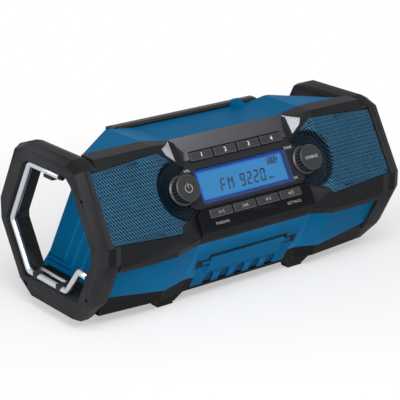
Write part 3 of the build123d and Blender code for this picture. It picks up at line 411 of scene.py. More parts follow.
# The end walls take the blue with the painted shade and highlights.
for face in housing.data.polygons:
    if abs(face.normal.x) > 0.95 and abs(face.center.x) > END_WALL_X:
        face.material_index = 1

shell_black = moulded(
    "shell_black", (0.006, 0.0063, 0.0072), (0.035, 0.036, 0.04), specular=0.05
)
base = rounded("base_shell", shell_black, 0.6, cage_edge_highlight)

# ---- Front frame ------------------------------------------------------------------------
# Faceted black moulding that holds grilles and controls. The small facets beside the visor are
# smoother than the grained rest and coloured light grey: a painted highlight of the light they
# catch.
frame_black = moulded(
    "frame_black", (0.0098, 0.0102, 0.0115), (0.045, 0.046, 0.05), specular=0.08
)
# Light grey colour of the facets beside the visor: a painted highlight.
facet_highlight = moulded(
    "facet_highlight",
    (0.32, 0.33, 0.36),
    (0.55, 0.56, 0.58),
    wear_and_shade=0.3,
    smooth=0.25,
    rough=0.35,
    bump=0.05,
    specular=0.6,
)
# Pale colour for the frame's broken edges: a painted highlight.
frame_edge_highlight = moulded(
    "frame_edge_highlight",
    (0.13, 0.132, 0.14),
    (0.2, 0.2, 0.21),
    smooth=0.3,
    rough=0.42,
    bump=0.05,
    specular=0.4,
)
FACET_NORMAL = Vector((0.326, -0.719, 0.615))
front = rounded("front_frame", frame_black, 0.5, frame_edge_highlight, also=(facet_highlight,))
for face in front.data.polygons:
    n = Vector((abs(face.normal.x), face.normal.y, face.normal.z))
    if max(abs(side) for side in n - FACET_NORMAL) < 0.05:
        face.material_index = 1

# ---- Grilles ----------------------------------------------------------------------------
# Thin steel sheet with close rows of small holes, formed flat with a facet and a round dish
# for the knob, painted blue, and darker in the dish. Black cloth lies behind the holes.
TILT_UP = Vector((0, 0.5, sqrt(0.75)))
TILT_OUT = Vector((0, -sqrt(0.75), 0.5))
FACE_TURN = Matrix((
    (1, 0, 0, 0),
    (0, TILT_UP.y, TILT_OUT.y, 0),
    (0, TILT_UP.z, TILT_OUT.z, 0),
    (0, 0, 0, 1),
))
KNOB_X, KNOB_V = 83.9, 80.5


def settle(bm, name, body, material):
    """Make an object of a finished bmesh that lies in place already, and let it ride."""
    mesh = bpy.data.meshes.new(name)
    bm.to_mesh(mesh)
    bm.free()
    mesh.materials.append(material)
    piece = bpy.data.objects.new(name, mesh)
    scene.collection.objects.link(piece)
    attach(piece, body)
    return piece


def to_metres(bm, matrix=Matrix.Identity(4)):
    """Bring a bmesh from millimetres to metres, and then to its place."""
    bmesh.ops.scale(bm, vec=(0.001, 0.001, 0.001), verts=bm.verts)
    bmesh.ops.transform(bm, matrix=matrix, verts=bm.verts)


def dress(node, material):
    """Give a piece its finish."""
    mesh = radio[node].data
    if not mesh.materials:
        mesh.materials.append(material)
    for i in range(len(mesh.materials)):
        mesh.materials[i] = material


# Even skin of paint, ink or plating: colour and gloss drift a little over the surface.
even_skin, given, out = effect(
    "even_skin",
    {"Dark": "Color", "Pale": "Color", "Grain size": "Float", "Smooth": "Float", "Rough": "Float"},
    {"Color": "Color", "Roughness": "Float"},
)
cloud = noise(even_skin, given["Grain size"])
feed(even_skin, mixed(even_skin, cloud, given["Dark"], given["Pale"]), out["Color"])
sheen = ranged(even_skin, cloud, to=(given["Smooth"], given["Rough"]))
feed(even_skin, sheen, out["Roughness"])


def coated(name, dark, pale, grain, smooth, rough, metal=0.0, specular=0.5):
    """Thin even coat, or bare plated metal."""
    material, tree, shader = new_material(name)
    shader.inputs["Metallic"].default_value = metal
    shader.inputs["Specular IOR Level"].default_value = specular
    skin = placed(tree, even_skin, {
        "Dark": (*dark, 1),
        "Pale": (*pale, 1),
        "Grain size": grain,
        "Smooth": smooth,
        "Rough": rough,
    })
    tree.links.new(skin["Color"], shader.inputs["Base Color"])
    tree.links.new(skin["Roughness"], shader.inputs["Roughness"])
    return material


SHEET_METAL_GRAIN = 60


def sheet_metal(name, base, rough, metal, specular=0.5):
    """Painted or bare sheet: some tone to both sides of its colour, slight orange peel."""
    dark, pale = ([k * part for k in base] for part in (0.75, 1.2))
    spread = 0.08
    return coated(
        name, dark, pale, SHEET_METAL_GRAIN, rough - spread, rough + spread, metal, specular
    )


# Shadow in the dish about each knob: how far the place lies from the knob's axis darkens it.
DISH_SHADE = 0.12
DISH_EDGE = (0.0325, 0.0352)
dish_shadow, given, out = effect("dish_shadow", {"Paint": "Color"}, {"Color": "Color"})
along = turned(dish_shadow, -60)
flat = add(dish_shadow, "CombineXYZ")
feed(dish_shadow, reckon(dish_shadow, "ABSOLUTE", along["X"]), flat.inputs["X"])
feed(dish_shadow, along["Y"], flat.inputs["Y"])
out_from = add(dish_shadow, "VectorMath", operation="DISTANCE")
out_from.inputs[1].default_value = (KNOB_X / 1000, KNOB_V / 1000, 0)
feed(dish_shadow, flat.outputs[0], out_from.inputs[0])
shade = ranged(
    dish_shadow, out_from.outputs["Value"], DISH_EDGE, (DISH_SHADE, 1.0), "SMOOTHSTEP"
)
feed(dish_shadow, mixed(dish_shadow, 1.0, given["Paint"], shade, "MULTIPLY"), out["Color"])


def grille_paint(name, base):
    """Blue baked paint on steel, darker in the dish about the knob."""
    material = sheet_metal(name, base, 0.42, 0.25, 0.2)
    tree = material.node_tree
    base_colour = tree.nodes["Principled BSDF"].inputs["Base Color"]
    paint = base_colour.links[0].from_socket
    feed(tree, placed(tree, dish_shadow, {"Paint": paint})["Color"], base_colour)
    return material


BLUE_PAINT = (0.024, 0.098, 0.17)
RIM_SHADE = 0.45
mesh_blue = grille_paint("mesh_blue", BLUE_PAINT)
rim_blue = grille_paint("rim_blue", [k * RIM_SHADE for k in BLUE_PAINT])
cloth_black = moulded(
    "cloth_black",
    (0.002, 0.005, 0.009),
    (0.01, 0.01, 0.012),
    grain=1400,
    wear_and_shade=0,
    smooth=0.8,
    rough=0.95,
    specular=0.1,
)

# Depths along the face's c, and radii about the knob, in millimetres.
SHEET_FACE = 132.8
FACET_X, FACET_SLOPE = 107, 9.2 / 30
DISH_FLOOR, DISH_FLOOR_RADIUS = 122.0, 19
DISH_KNEE, DISH_KNEE_RADIUS = 125.6, 29.5
DISH_RADIUS = 35.0


def grille_height(x, v):
    """How far the formed sheet stands out of the face at x, v."""
    flat = SHEET_FACE - max(FACET_X - x, 0) * FACET_SLOPE
    r = hypot(x - KNOB_X, v - KNOB_V)
    if r < DISH_KNEE_RADIUS:
        slope = (DISH_KNEE - DISH_FLOOR) / (DISH_KNEE_RADIUS - DISH_FLOOR_RADIUS)
        return min(flat, DISH_FLOOR + max(r - DISH_FLOOR_RADIUS, 0) * slope)
    slope = (SHEET_FACE + 0.05 - DISH_KNEE) / (DISH_RADIUS - DISH_KNEE_RADIUS)
    return min(flat, DISH_KNEE + (r - DISH_KNEE_RADIUS) * slope)


PITCH_X, PITCH_V, LEAN = 3.3, 4.4, 0.62
COLUMNS, ROWS = 68, 21
GRID_X, GRID_V = 130, 80
HOLE_X, HOLE_V = 0.5, 0.86
SHEET_THICKNESS, SHEET_GAP = 0.5, 0.3
RIM_WIDTH, RIM_STEP, RIM_SUNK = 3.0, 3.0, 0.15
sheet_outline = [
    (189.3, 42.9),
    (189.3, 118.2),
    (104, 123.6),
    (73.0, 103.8),
    (80.0, 98.3),
    (84.0, 92.5),
    (94.0, 84.5),
    (94.0, 76.5),
    (84.0, 68.5),
    (80.0, 62.7),
    (73.0, 57.2),
    (100, 44.4),
    (104, 37.0),
]


def inside(x, v):
    """Whether a point lies within the sheet's outline."""
    within = False
    for (x0, v0), (x1, v1) in zip(sheet_outline, sheet_outline[1:] + sheet_outline[:1]):
        if (v0 > v) != (v1 > v) and x < (x1 - x0) * (v - v0) / (v1 - v0) + x0:
            within = not within
    return within


def on_outline(point):
    """Nearest point on the sheet's outline."""
    nearest = []
    for a, b in zip(sheet_outline, sheet_outline[1:] + sheet_outline[:1]):
        a, b = Vector((*a, 0)), Vector((*b, 0))
        share = (point - a).dot(b - a) / (b - a).length_squared
        nearest.append(a.lerp(b, min(max(share, 0), 1)))
    return min(nearest, key=lambda spot: (spot - point).length)


def add_rim(bm):
    """Plain folded band along the sheet's outline, mitred at its corners, a little behind the
    punched part."""
    plate = bm.faces.new([bm.verts.new((x, v, -RIM_SUNK)) for x, v in sheet_outline])
    plate.normal_update()
    band = bmesh.ops.inset_region(
        bm, faces=[plate], thickness=RIM_WIDTH, use_even_offset=True, use_boundary=True
    )["faces"]
    inner = set(plate.verts)
    runs, mitres = [], set()
    for face in band:
        face.material_index = 1
        inner_ends = {edge: len(inner.intersection(edge.verts)) for edge in face.edges}
        mitres.update(edge for edge, ends in inner_ends.items() if ends == 1)
        runs.append(sorted((e for e in inner_ends if inner_ends[e] != 1), key=inner_ends.get))
    bmesh.ops.delete(bm, geom=[plate], context="FACES_ONLY")
    for outer_edge, inner_edge in runs:
        cuts = round(outer_edge.calc_length() / RIM_STEP) - 1
        bmesh.ops.subdivide_edges(
            bm, edges=[outer_edge, inner_edge], cuts=cuts, use_grid_fill=True
        )
    bmesh.ops.split_edges(bm, edges=list(mitres))


def perforated_sheet(lean):
    """Right-hand sheet: leaning rows of small holes, cut to outline, formed and thickened."""
    bm = bmesh.new()
    bmesh.ops.create_grid(bm, x_segments=COLUMNS, y_segments=ROWS, size=0.5)
    for vert in bm.verts:
        row = vert.co.y * ROWS * PITCH_V
        vert.co = Vector((GRID_X + vert.co.x * COLUMNS * PITCH_X - lean * row, GRID_V + row, 0))
    far = [f for f in bm.faces if sum(inside(*v.co.xy) for v in f.verts) < 3]
    bmesh.ops.delete(bm, geom=far, context="FACES")
    made = bmesh.ops.inset_individual(bm, faces=bm.faces[:], thickness=0.2, use_even_offset=True)
    webs = set(made["faces"])
    holes = [face for face in bm.faces if face not in webs]
    for hole in holes:
        middle = hole.calc_center_median()
        for vert in hole.verts:
            offset = vert.co - middle
            up = copysign(PITCH_V / 2 * HOLE_V, offset.y)
            across = copysign(PITCH_X / 2 * HOLE_X, offset.x + lean * offset.y)
            vert.co = middle + Vector((across - lean * up, up, 0))
    bmesh.ops.delete(bm, geom=holes, context="FACES_ONLY")
    bmesh.ops.subdivide_edges(bm, edges=bm.edges[:], cuts=1, use_grid_fill=True)
    for vert in bm.verts:
        if not inside(*vert.co.xy):
            vert.co = on_outline(vert.co)
    bmesh.ops.dissolve_degenerate(bm, dist=0.01, edges=bm.edges[:])
    add_rim(bm)
    bmesh.ops.recalc_face_normals(bm, faces=bm.faces[:])
    for vert in bm.verts:
        vert.co.z += grille_height(vert.co.x, vert.co.y) + SHEET_GAP
    bmesh.ops.solidify(bm, geom=bm.faces[:], thickness=-SHEET_THICKNESS)
    to_metres(bm, FACE_TURN)
    return bm


for side in ("right_grille", "left_grille"):
    bm = perforated_sheet(LEAN if side == "right_grille" else -LEAN)
    if side == "left_grille":
        bmesh.ops.scale(bm, vec=(-1, 1, 1), verts=bm.verts)
        bmesh.ops.reverse_faces(bm, faces=bm.faces[:])
    sheet = settle(bm, side + "_sheet", "radio", mesh_blue)
    sheet.data.materials.append(rim_blue)
    dress(side, cloth_black)

# ---- Control panels ---------------------------------------------------------------------
# Grey visor over the preset keys and black chin with the function keys, both moulded and clipped
# into the frame from the front. The visor is painted paler towards its left end and darker towards
# its right: painted light falling from the left.
visor_grey = moulded(
    "visor_grey", (0.04, 0.041, 0.045), (0.12, 0.12, 0.13), smooth=0.36, rough=0.52
)
# Painted light across the visor: paler at the left end, darker at the right.
VISOR_HALF_X = 0.07
VISOR_LIT_END, VISOR_SHADED_END = 1.9, 0.8
tree = visor_grey.node_tree
base_colour = tree.nodes["Principled BSDF"].inputs["Base Color"]
light_across = ranged(
    tree, turned(tree)["X"], (-VISOR_HALF_X, VISOR_HALF_X), (VISOR_LIT_END, VISOR_SHADED_END)
)
skin = base_colour.links[0].from_socket
tree.links.new(mixed(tree, 1.0, skin, light_across, "MULTIPLY"), base_colour)
visor = rounded("visor_panel", visor_grey, 0.45, cage_edge_highlight)

PANEL_SKIN = {"smooth": 0.4, "rough": 0.55, "specular": 0.05}
panel_black = moulded("panel_black", (0.004, 0.0045, 0.0055), (0.03, 0.03, 0.035), **PANEL_SKIN)
chin = rounded("chin_panel", panel_black, 0.45)

# ---- Labels -----------------------------------------------------------------------------
# Thin marks, pad-printed in grey ink: here the words on bezel and chin, and further down
# the numbers and plain signs on keys and knobs. Each is a film a few hundredths of a
# millimetre thick.


def printing_ink(name, thin, full):
    """Matt ink, a little uneven between a thin and a full grey."""
    return coated(name, (thin,) * 3, (full,) * 3, 900, 0.5, 0.75)


ink = printing_ink("pale_ink", 0.45, 0.66)
soft_ink = printing_ink("soft_ink", 0.24, 0.38)
dim_ink = printing_ink("dim_ink", 0.16, 0.26)
FILM = 0.04


def on_face(x, v, c):
    """Place on the leaning control face, from millimetres: x along, v up it, c out of it."""
    place = (Vector((x, 0, 0)) + TILT_UP * v + TILT_OUT * c) / 1000
    return Matrix.Translation(place) @ FACE_TURN


def printed(word, x, v, c, size, body, bold=0.0, material=ink):
    """A printed word or number, centred at x, v on the face plane at depth c."""
    curve = bpy.data.curves.new("print", "FONT")
    curve.body = word
    curve.size = size
    curve.align_x = "CENTER"
    curve.align_y = "CENTER"
    curve.extrude = FILM / 2
    curve.offset = bold
    curve.space_character = 1.12
    curve.resolution_u = 2
    flat = bpy.data.objects.new("print", curve)
    bm = bmesh.new()
    bm.from_mesh(bpy.data.meshes.new_from_object(flat))
    to_metres(bm, on_face(x, v, c + 0.03))
    name = f"mark_{word.lower()}_{abs(round(x))}_{round(v)}".replace(" ", "_")
    return settle(bm, name, body, material)


BEZEL_FACE, CHIN_FACE = 124.4, 129.0
for word, x, v, c, size, film in (
    ("VOL", -69.8, 99.3, BEZEL_FACE, 3.9, ink),
    ("TUNE", 67.8, 98.2, BEZEL_FACE, 3.9, ink),
    ("OK", 65.8, 64.2, BEZEL_FACE, 3.8, ink),
    ("PAIRING", -49.0, 38.2, CHIN_FACE, 4.2, soft_ink),
    ("SETTINGS", 49.5, 38.8, CHIN_FACE, 4.1, soft_ink),
):
    printed(word, x, v, c, size, "radio", material=film)

# ---- Display ----------------------------------------------------------------------------
# Backlit liquid crystal panel under a clear moulded window, in a black bezel clipped into the
# frame. The light is pale blue in the middle and deep blue round the edge. The wider deep border
# at the top and left is a painted shadow of the window's frame, and the deep blue glow on the
# bezel is painted light.
LCD_HALF_X, LCD_HALF_V, LCD_V = 0.0585, 0.0155, 0.081
FIELD_SHADOW_SHIFT, GLOW_SHIFT = 0.0007, 0.0012
FIELD_EDGE = (0.0, 0.0018)
GLOW_REACH = (-0.0062, -0.0016)

# Lit field: the distance inside it, in metres, when it is shifted to the right and down.
lit_field, given, out = effect("lit_field", {"Shift": "Float"}, {"Inside": "Float"})
along = turned(lit_field, -60)
across = reckon(lit_field, "SUBTRACT", along["X"], given["Shift"])
up = reckon(lit_field, "ADD", along["Y"], reckon(lit_field, "SUBTRACT", given["Shift"], LCD_V))
within = [
    reckon(lit_field, "SUBTRACT", half, reckon(lit_field, "ABSOLUTE", place))
    for place, half in ((across, LCD_HALF_X), (up, LCD_HALF_V))
]
feed(lit_field, reckon(lit_field, "MINIMUM", *within), out["Inside"])


def ramp(tree, value, first, middle, at, last):
    """Colour ramp over three colours, with the place of the middle one."""
    node = add(tree, "ValToRGB")
    stops = node.color_ramp.elements
    stops[0].color, stops[1].color = (*first, 1), (*last, 1)
    stops.new(at).color = (*middle, 1)
    tree.links.new(value, node.inputs["Fac"])
    return node.outputs["Color"]


def glowing(tree, colour):
    """Let a material's shader give off a colour."""
    shader = tree.nodes["Principled BSDF"]
    tree.links.new(colour, shader.inputs["Emission Color"])
    shader.inputs["Emission Strength"].default_value = 1.0


lit, tree, shader = new_material("backlight")
shader.inputs["Roughness"].default_value = 0.4
shader.inputs["Base Color"].default_value = (0.004, 0.012, 0.024, 1)
shader.inputs["Specular IOR Level"].default_value = 0.0
# The field is shifted right and down, so its deep border at the top and left is a painted shadow
# of the window's frame.
inside_field = placed(tree, lit_field, {"Shift": FIELD_SHADOW_SHIFT})["Inside"]
field = ranged(tree, inside_field, FIELD_EDGE)
glow = ramp(tree, field, (0.012, 0.06, 0.42), (0.02, 0.125, 0.5), 0.45, (0.045, 0.22, 0.47))
glowing(tree, glow)
dress("lcd_module", lit)

bezel_black = moulded("bezel_black", (0.02, 0.0205, 0.023), (0.03, 0.03, 0.035), **PANEL_SKIN)
tree = bezel_black.node_tree
# Glow on the bezel round the panel: painted light.
inside_field = placed(tree, lit_field, {"Shift": GLOW_SHIFT})["Inside"]
leak = ranged(tree, inside_field, GLOW_REACH, ease="SMOOTHERSTEP")
glowing(tree, ramp(tree, leak, (0, 0, 0), (0.001, 0.005, 0.035), 0.6, (0.012, 0.04, 0.14)))
bezel = rounded("display_bezel", bezel_black, 0.4, angle=24)

clear, tree, shader = new_material("clear_window")
shader.inputs["Transmission Weight"].default_value = 1.0
shader.inputs["Base Color"].default_value = (0.93, 0.97, 1.0, 1)
shader.inputs["IOR"].default_value = 1.12
feed(tree, ranged(tree, noise(tree, 160), to=(0.02, 0.06)), shader.inputs["Roughness"])
dress("lcd_window", clear)

crystal, tree, shader = new_material("dark_crystal")
shader.inputs["Roughness"].default_value = 0.6
bleed = {"Dark": (0.004, 0.008, 0.02, 1), "Pale": (0.01, 0.02, 0.05, 1), "Grain size": 400}
feed(tree, placed(tree, even_skin, bleed)["Color"], shader.inputs["Base Color"])

# Seven strokes of a figure: top, two upper, middle, two lower and bottom.
STROKES = {
    "9": "abcdfg",
    "2": "abged",
    "0": "abcdef",
    "F": "aefg",
}
FIGURE_LEAN, FIGURE_WIDTH, FIGURE_HEIGHT, STROKE = 0.13, 6.8, 14.0, 1.8
FIGURE_PITCH, FIGURE_FOOT = 9.3, -11.0


def bar(bm, x, v, width, height, lean=0.0, turn=0.0):
    """Small flat stroke, centred at x, v, leaning like slanted figures or turned."""
    made = bmesh.ops.create_grid(bm, x_segments=1, y_segments=1, size=0.5)["verts"]
    bmesh.ops.scale(bm, vec=(width, height, 1), verts=made)
    bmesh.ops.rotate(bm, cent=(0, 0, 0), matrix=Matrix.Rotation(turn, 3, "Z"), verts=made)
    for vert in made:
        vert.co.x += x + lean * (v + vert.co.y)
        vert.co.y += v


def figure(bm, name, x):
    """One slanted figure or letter of seven strokes, with small gaps between them."""
    half = FIGURE_HEIGHT / 2
    across, up = FIGURE_WIDTH - 1.9, half - 1.6
    side = FIGURE_WIDTH / 2 - STROKE / 2
    spots = {
        "a": (0, FIGURE_HEIGHT - STROKE / 2, across, STROKE),
        "g": (0, half, across, STROKE),
        "d": (0, STROKE / 2, across, STROKE),
        "f": (-side, 1.5 * half, STROKE, up),
        "b": (side, 1.5 * half, STROKE, up),
        "e": (-side, 0.5 * half, STROKE, up),
        "c": (side, 0.5 * half, STROKE, up),
    }
    for dx, dv, width, height in (spots[which] for which in STROKES[name]):
        bar(bm, x + dx, FIGURE_FOOT + dv, width, height, FIGURE_LEAN)


def letter_m(bm, x):
    """Slanted capital M: two posts and two short strokes from its top."""
    middle = FIGURE_FOOT + FIGURE_HEIGHT / 2
    notch = FIGURE_FOOT + FIGURE_HEIGHT - 3.6
    for side in (-1, 1):
        bar(bm, x + side * 2.9, middle, STROKE, FIGURE_HEIGHT - 1.2, FIGURE_LEAN)
        bar(bm, x + side * 1.3, notch, 1.2, 5.0, FIGURE_LEAN, side * -0.42)


def charge_sign(bm, x, v):
    """Rounded frame with three slanted blocks and a stud: how full the battery is."""
    for dv in (-3.5, 3.5):
        bar(bm, x, v + dv, 13.4, 0.9)
    for dx in (-6.6, 6.6):
        bar(bm, x + dx, v, 0.9, 7.4)
    bar(bm, x + 7.7, v, 1.2, 3.2)
    for i in range(3):
        bar(bm, x - 6.6 + i * 3.6, v, 2.5, 5.4, 0.35)


def figures(bm):
    """What the display shows: band, station and charge."""
    figure(bm, "F", -27.5)
    letter_m(bm, -17.0)
    for i, name in enumerate("9220"):
        figure(bm, name, -1.0 + i * FIGURE_PITCH)
    charge_sign(bm, 43.5, 8.8)


def sign(draw, name, x, v, c, body, material=ink, size=1.0):
    """A printed sign drawn in flat strokes about its centre, and enlarged to its size."""
    bm = bmesh.new()
    draw(bm)
    bmesh.ops.recalc_face_normals(bm, faces=bm.faces[:])
    for face in bm.faces:
        if face.normal.z < 0:
            face.normal_flip()
    bmesh.ops.scale(bm, vec=(size, size, 1), verts=bm.verts)
    bmesh.ops.solidify(bm, geom=bm.faces[:], thickness=-FILM)
    to_metres(bm, on_face(x, v, c + 0.005))
    return settle(bm, name, body, material)


LCD_FACE = 121.0
sign(figures, "lcd_figures", 0, 1000 * LCD_V, LCD_FACE, "radio", crystal)
printed("MHz", 37.4, 71.8, LCD_FACE, 4.0, "radio", 0.14, crystal)

# ---- Knobs ------------------------------------------------------------------------------
# Caps with a fluted skirt, moulded in black, each pressed on a steel shaft. The left one
# switches on when pushed and sets the volume, the right one tunes and picks the source.
knob_black = moulded(
    "knob_black",
    (0.012, 0.0125, 0.014),
    (0.05, 0.05, 0.055),
    smooth=0.27,
    rough=0.34,
    bump=0.08,
    specular=0.5,
)
# Paler colour for the flange's chamfer and the plain ribs: a painted highlight.
knob_edge_highlight = moulded(
    "knob_edge_highlight",
    (0.045, 0.046, 0.05),
    (0.08, 0.08, 0.085),
    smooth=0.25,
    rough=0.35,
    bump=0.03,
    specular=0.5,
)
# A little lighter for the knobs' top faces: painted light falling from above.
lit_knob_face = moulded(
    "lit_knob_face",
    (0.02, 0.021, 0.023),
    (0.05, 0.05, 0.055),
    smooth=0.3,
    rough=0.4,
    bump=0.08,
    specular=0.25,
)
# Radius and height above the base of flange, neck, fluted wall, and crowned rim.
KNOB_PROFILE = (
    (16.2, 0.0),
    (16.2, 1.0),
    (15.8, 1.4),
    (14.3, 1.9),
    (14.2, 2.0),
    (14.5, 12.2),
    (14.55, 12.35),
    (14.5, 12.6),
    (14.0, 12.9),
    (12.9, 13.1),
)
KNOB_BASE, KNOB_HEIGHT = 125.5, 13.1
FLANGE_TOP, WALL_FOOT, WALL_TOP = 1.0, 2.0, 12.2
FLUTES, FLUTE_DEPTH = 24, 1.1
FLUTE_PARTS = (0.0, 0.0, 0.0, 0.35, 1.0, 0.35)


def fluted_knob():
    """Profile spun about the shaft, with grooves pressed into the wall between flat ribs.
    The ribs and the flange's chamfer are painted paler as a painted highlight, and the top face a
    little lighter as painted light from above."""
    bm = bmesh.new()
    line = [bm.verts.new((radius, 0, height)) for radius, height in KNOB_PROFILE]
    edges = [bm.edges.new(pair) for pair in zip(line, line[1:])]
    steps = FLUTES * len(FLUTE_PARTS)
    bmesh.ops.spin(
        bm,
        geom=line + edges,
        cent=(0, 0, 0),
        axis=(0, 0, 1),
        angle=2 * pi,
        steps=steps,
        use_merge=True,
    )
    grooved = set()
    for vert in bm.verts:
        if WALL_FOOT - 0.01 < vert.co.z < WALL_TOP + 0.01:
            part = round(atan2(vert.co.y, vert.co.x) / (2 * pi) * steps) % len(FLUTE_PARTS)
            vert.co.xy -= vert.co.xy.normalized() * FLUTE_DEPTH * FLUTE_PARTS[part]
            if FLUTE_PARTS[part]:
                grooved.add(vert)
    for face in bm.faces:
        foot = min(vert.co.z for vert in face.verts)
        wall, chamfer = (abs(foot - level) < 0.01 for level in (WALL_FOOT, FLANGE_TOP))
        face.smooth = not wall
        face.material_index = int(chamfer or (wall and not grooved.intersection(face.verts)))
    rims = [edge for edge in bm.edges if edge.is_boundary]
    for face in bmesh.ops.edgeloop_fill(bm, edges=rims)["faces"]:
        face.smooth = False
        face.material_index = 2 if face.calc_center_median().z > WALL_TOP else 0
    bmesh.ops.recalc_face_normals(bm, faces=bm.faces[:])
    return bm


for node, x in (("volume_knob", -KNOB_X), ("tuning_knob", KNOB_X)):
    bm = fluted_knob()
    to_metres(bm, on_face(x, KNOB_V, KNOB_BASE))
    knob = settle(bm, node + "_cap", node, knob_black)
    knob.data.materials.append(knob_edge_highlight)
    knob.data.materials.append(lit_knob_face)
    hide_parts(node)


def arc(bm, x, v, inner, outer, start, sweep, steps=8):
    """Flat curved stroke about x, v, spun from a short radial edge."""
    a = bm.verts.new((x + inner * cos(start), v + inner * sin(start), 0))
    b = bm.verts.new((x + outer * cos(start), v + outer * sin(start), 0))
    edge = bm.edges.new((a, b))
    bmesh.ops.spin(
        bm,
        geom=[a, b, edge],
        cent=(x, v, 0),
        axis=(0, 0, 1),
        angle=sweep,
        steps=steps,
        use_merge=False,
    )


def power(bm):
    """Open ring with an upright stroke."""
    arc(bm, 0, -0.4, 4.2, 4.6, radians(90 + 28), radians(360 - 56), 40)
    bar(bm, 0, 2.6, 0.4, 5.2)


KNOB_FACE = KNOB_BASE + KNOB_HEIGHT
sign(power, "mark_power", -KNOB_X, KNOB_V, KNOB_FACE, "volume_knob")
printed("SOURCE", KNOB_X, KNOB_V, KNOB_FACE, 4.3, "tuning_knob")

# ---- Keys -------------------------------------------------------------------------------
# Soft-touch caps in a row, each with a number or a sign printed on its face, over small
# switches on the main board.
key_soft = moulded(
    "key_soft", (0.024, 0.0245, 0.027), (0.12, 0.12, 0.125), smooth=0.42, rough=0.6, wear_and_shade=1.8
)
# Paler colour for the keys' broken edges: a painted highlight.
key_edge_highlight = moulded("key_edge_highlight", (0.045, 0.046, 0.05), (0.16, 0.16, 0.165), smooth=0.35, rough=0.5)
for kind in ("preset_key", "function_key"):
    for i in range(4):
        cap = rounded(f"{kind}_{i + 1}", key_soft, 0.35, key_edge_highlight)

KEY_PITCH = 31.75
PRESET_V, PRESET_FACE = 112.1, 127.9
FUNCTION_V, FUNCTION_FACE = 49.3, 130.6
for i in range(4):
    x, key = (i - 1.5) * KEY_PITCH, f"preset_key_{i + 1}"
    printed(str(i + 1), x, PRESET_V, PRESET_FACE, 6.4, key, 0.17)


def waves(bm):
    """Dot with rising arcs on both sides: a wireless link."""
    arc(bm, 0, 0, 0.0, 0.55, 0, 2 * pi, 12)
    for r in (1.3, 2.3):
        for start in (-40, 140):
            arc(bm, 0, 0, r, r + 0.45, radians(start), radians(80))


def wedge(bm, x, v, size, turn=0.0):
    """Small filled triangle that points along X before it is turned."""
    made = bmesh.ops.create_circle(bm, cap_ends=True, radius=size, segments=3)["verts"]
    about = Matrix.Rotation(turn - pi / 2, 3, "Z")
    bmesh.ops.rotate(bm, cent=(0, 0, 0), matrix=about, verts=made)
    bmesh.ops.translate(bm, vec=(x, v, 0), verts=made)


def back(bm):
    """Two triangles that point to a bar on their left."""
    wedge(bm, -0.1, 0, 1.25, pi)
    wedge(bm, 1.7, 0, 1.25, pi)
    bar(bm, -1.75, 0, 0.45, 2.2)


def play(bm):
    """Triangle with two bars: start and pause."""
    wedge(bm, -1.2, 0, 1.4)
    bar(bm, 0.9, 0, 0.5, 2.4)
    bar(bm, 1.9, 0, 0.5, 2.4)


def sound(bm):
    """Small horn with two arcs."""
    bar(bm, -1.9, 0, 0.8, 1.2)
    wedge(bm, -0.7, 0, 1.4, pi)
    for r in (1.2, 2.1):
        arc(bm, -0.2, 0, r, r + 0.45, radians(-45), radians(90))


for i, (draw, size) in enumerate(((waves, 1.3), (back, 1.7), (play, 1.6), (sound, 1.5))):
    x, key, mark = (i - 1.5) * KEY_PITCH, f"function_key_{i + 1}", f"mark_function_{i + 1}"
    sign(draw, mark, x, FUNCTION_V, FUNCTION_FACE, key, dim_ink, size)
dress("key_switches", shell_black)

# ---- Main board ---------------------------------------------------------------------------
# Printed board behind the controls, with the encoders that the knobs turn and push. Green
# lacquer over copper, seen only where the knobs' holes let light in.
board, tree, shader = new_material("board_green")
shader.inputs["Roughness"].default_value = 0.35
tracks = add(tree, "TexBrick")
tracks.inputs["Scale"].default_value = 90
tracks.inputs["Color1"].default_value = (0.01, 0.09, 0.035, 1)
tracks.inputs["Color2"].default_value = (0.012, 0.12, 0.045, 1)
tracks.inputs["Mortar"].default_value = (0.03, 0.16, 0.07, 1)
tree.links.new(add(tree, "TexCoord").outputs["Object"], tracks.inputs["Vector"])
tree.links.new(tracks.outputs["Color"], shader.inputs["Base Color"])
dress("main_board", board)
for node in ("volume_encoder", "tuning_encoder", "volume_plunger", "tuning_plunger"):
    dress(node, shell_black)

# ---- Speakers -----------------------------------------------------------------------------
# Coated paper cone in a black pressed basket, with a ferrite magnet behind. The sheet's
# holes show little of them.
paper_black = moulded(
    "paper_black",
    (0.01, 0.01, 0.011),
    (0.03, 0.03, 0.03),
    grain=500,
    wear_and_shade=0,
    smooth=0.7,
    rough=0.95,
    specular=0.15,
)
ferrite = moulded(
    "ferrite", (0.03, 0.03, 0.032), (0.08, 0.08, 0.08), grain=300, smooth=0.5, rough=0.8
)
for side in ("left", "right"):
    dress(f"{side}_speaker_cone", paper_black)
    dress(f"{side}_speaker_basket", shell_black)
    dress(f"{side}_speaker_magnet", ferrite)

# ---- Antenna ------------------------------------------------------------------------------
# Flat whip in a black flexible sleeve. It lies in a groove at the back of the deck and
# stands up on a steel pin at its left end.
antenna_black = moulded(
    "antenna_black", (0.008, 0.0085, 0.01), (0.04, 0.04, 0.045), smooth=0.38, rough=0.44, bump=0.05
)
whip = rounded("antenna", antenna_black, 0.6, angle=24)

# ---- Flap and sockets ---------------------------------------------------------------------
# Hinged cover of the same blue plastic as the shell, over a black tray with the sockets.
# Arched grooves along its lower edge give the fingers a hold; their insides are painted darker
# blue, a painted shade.
shaded_groove_blue = moulded(
    "shaded_groove_blue", (0.001, 0.05, 0.118), (0.01, 0.09, 0.19), smooth=0.36, rough=0.5, specular=0.05
)
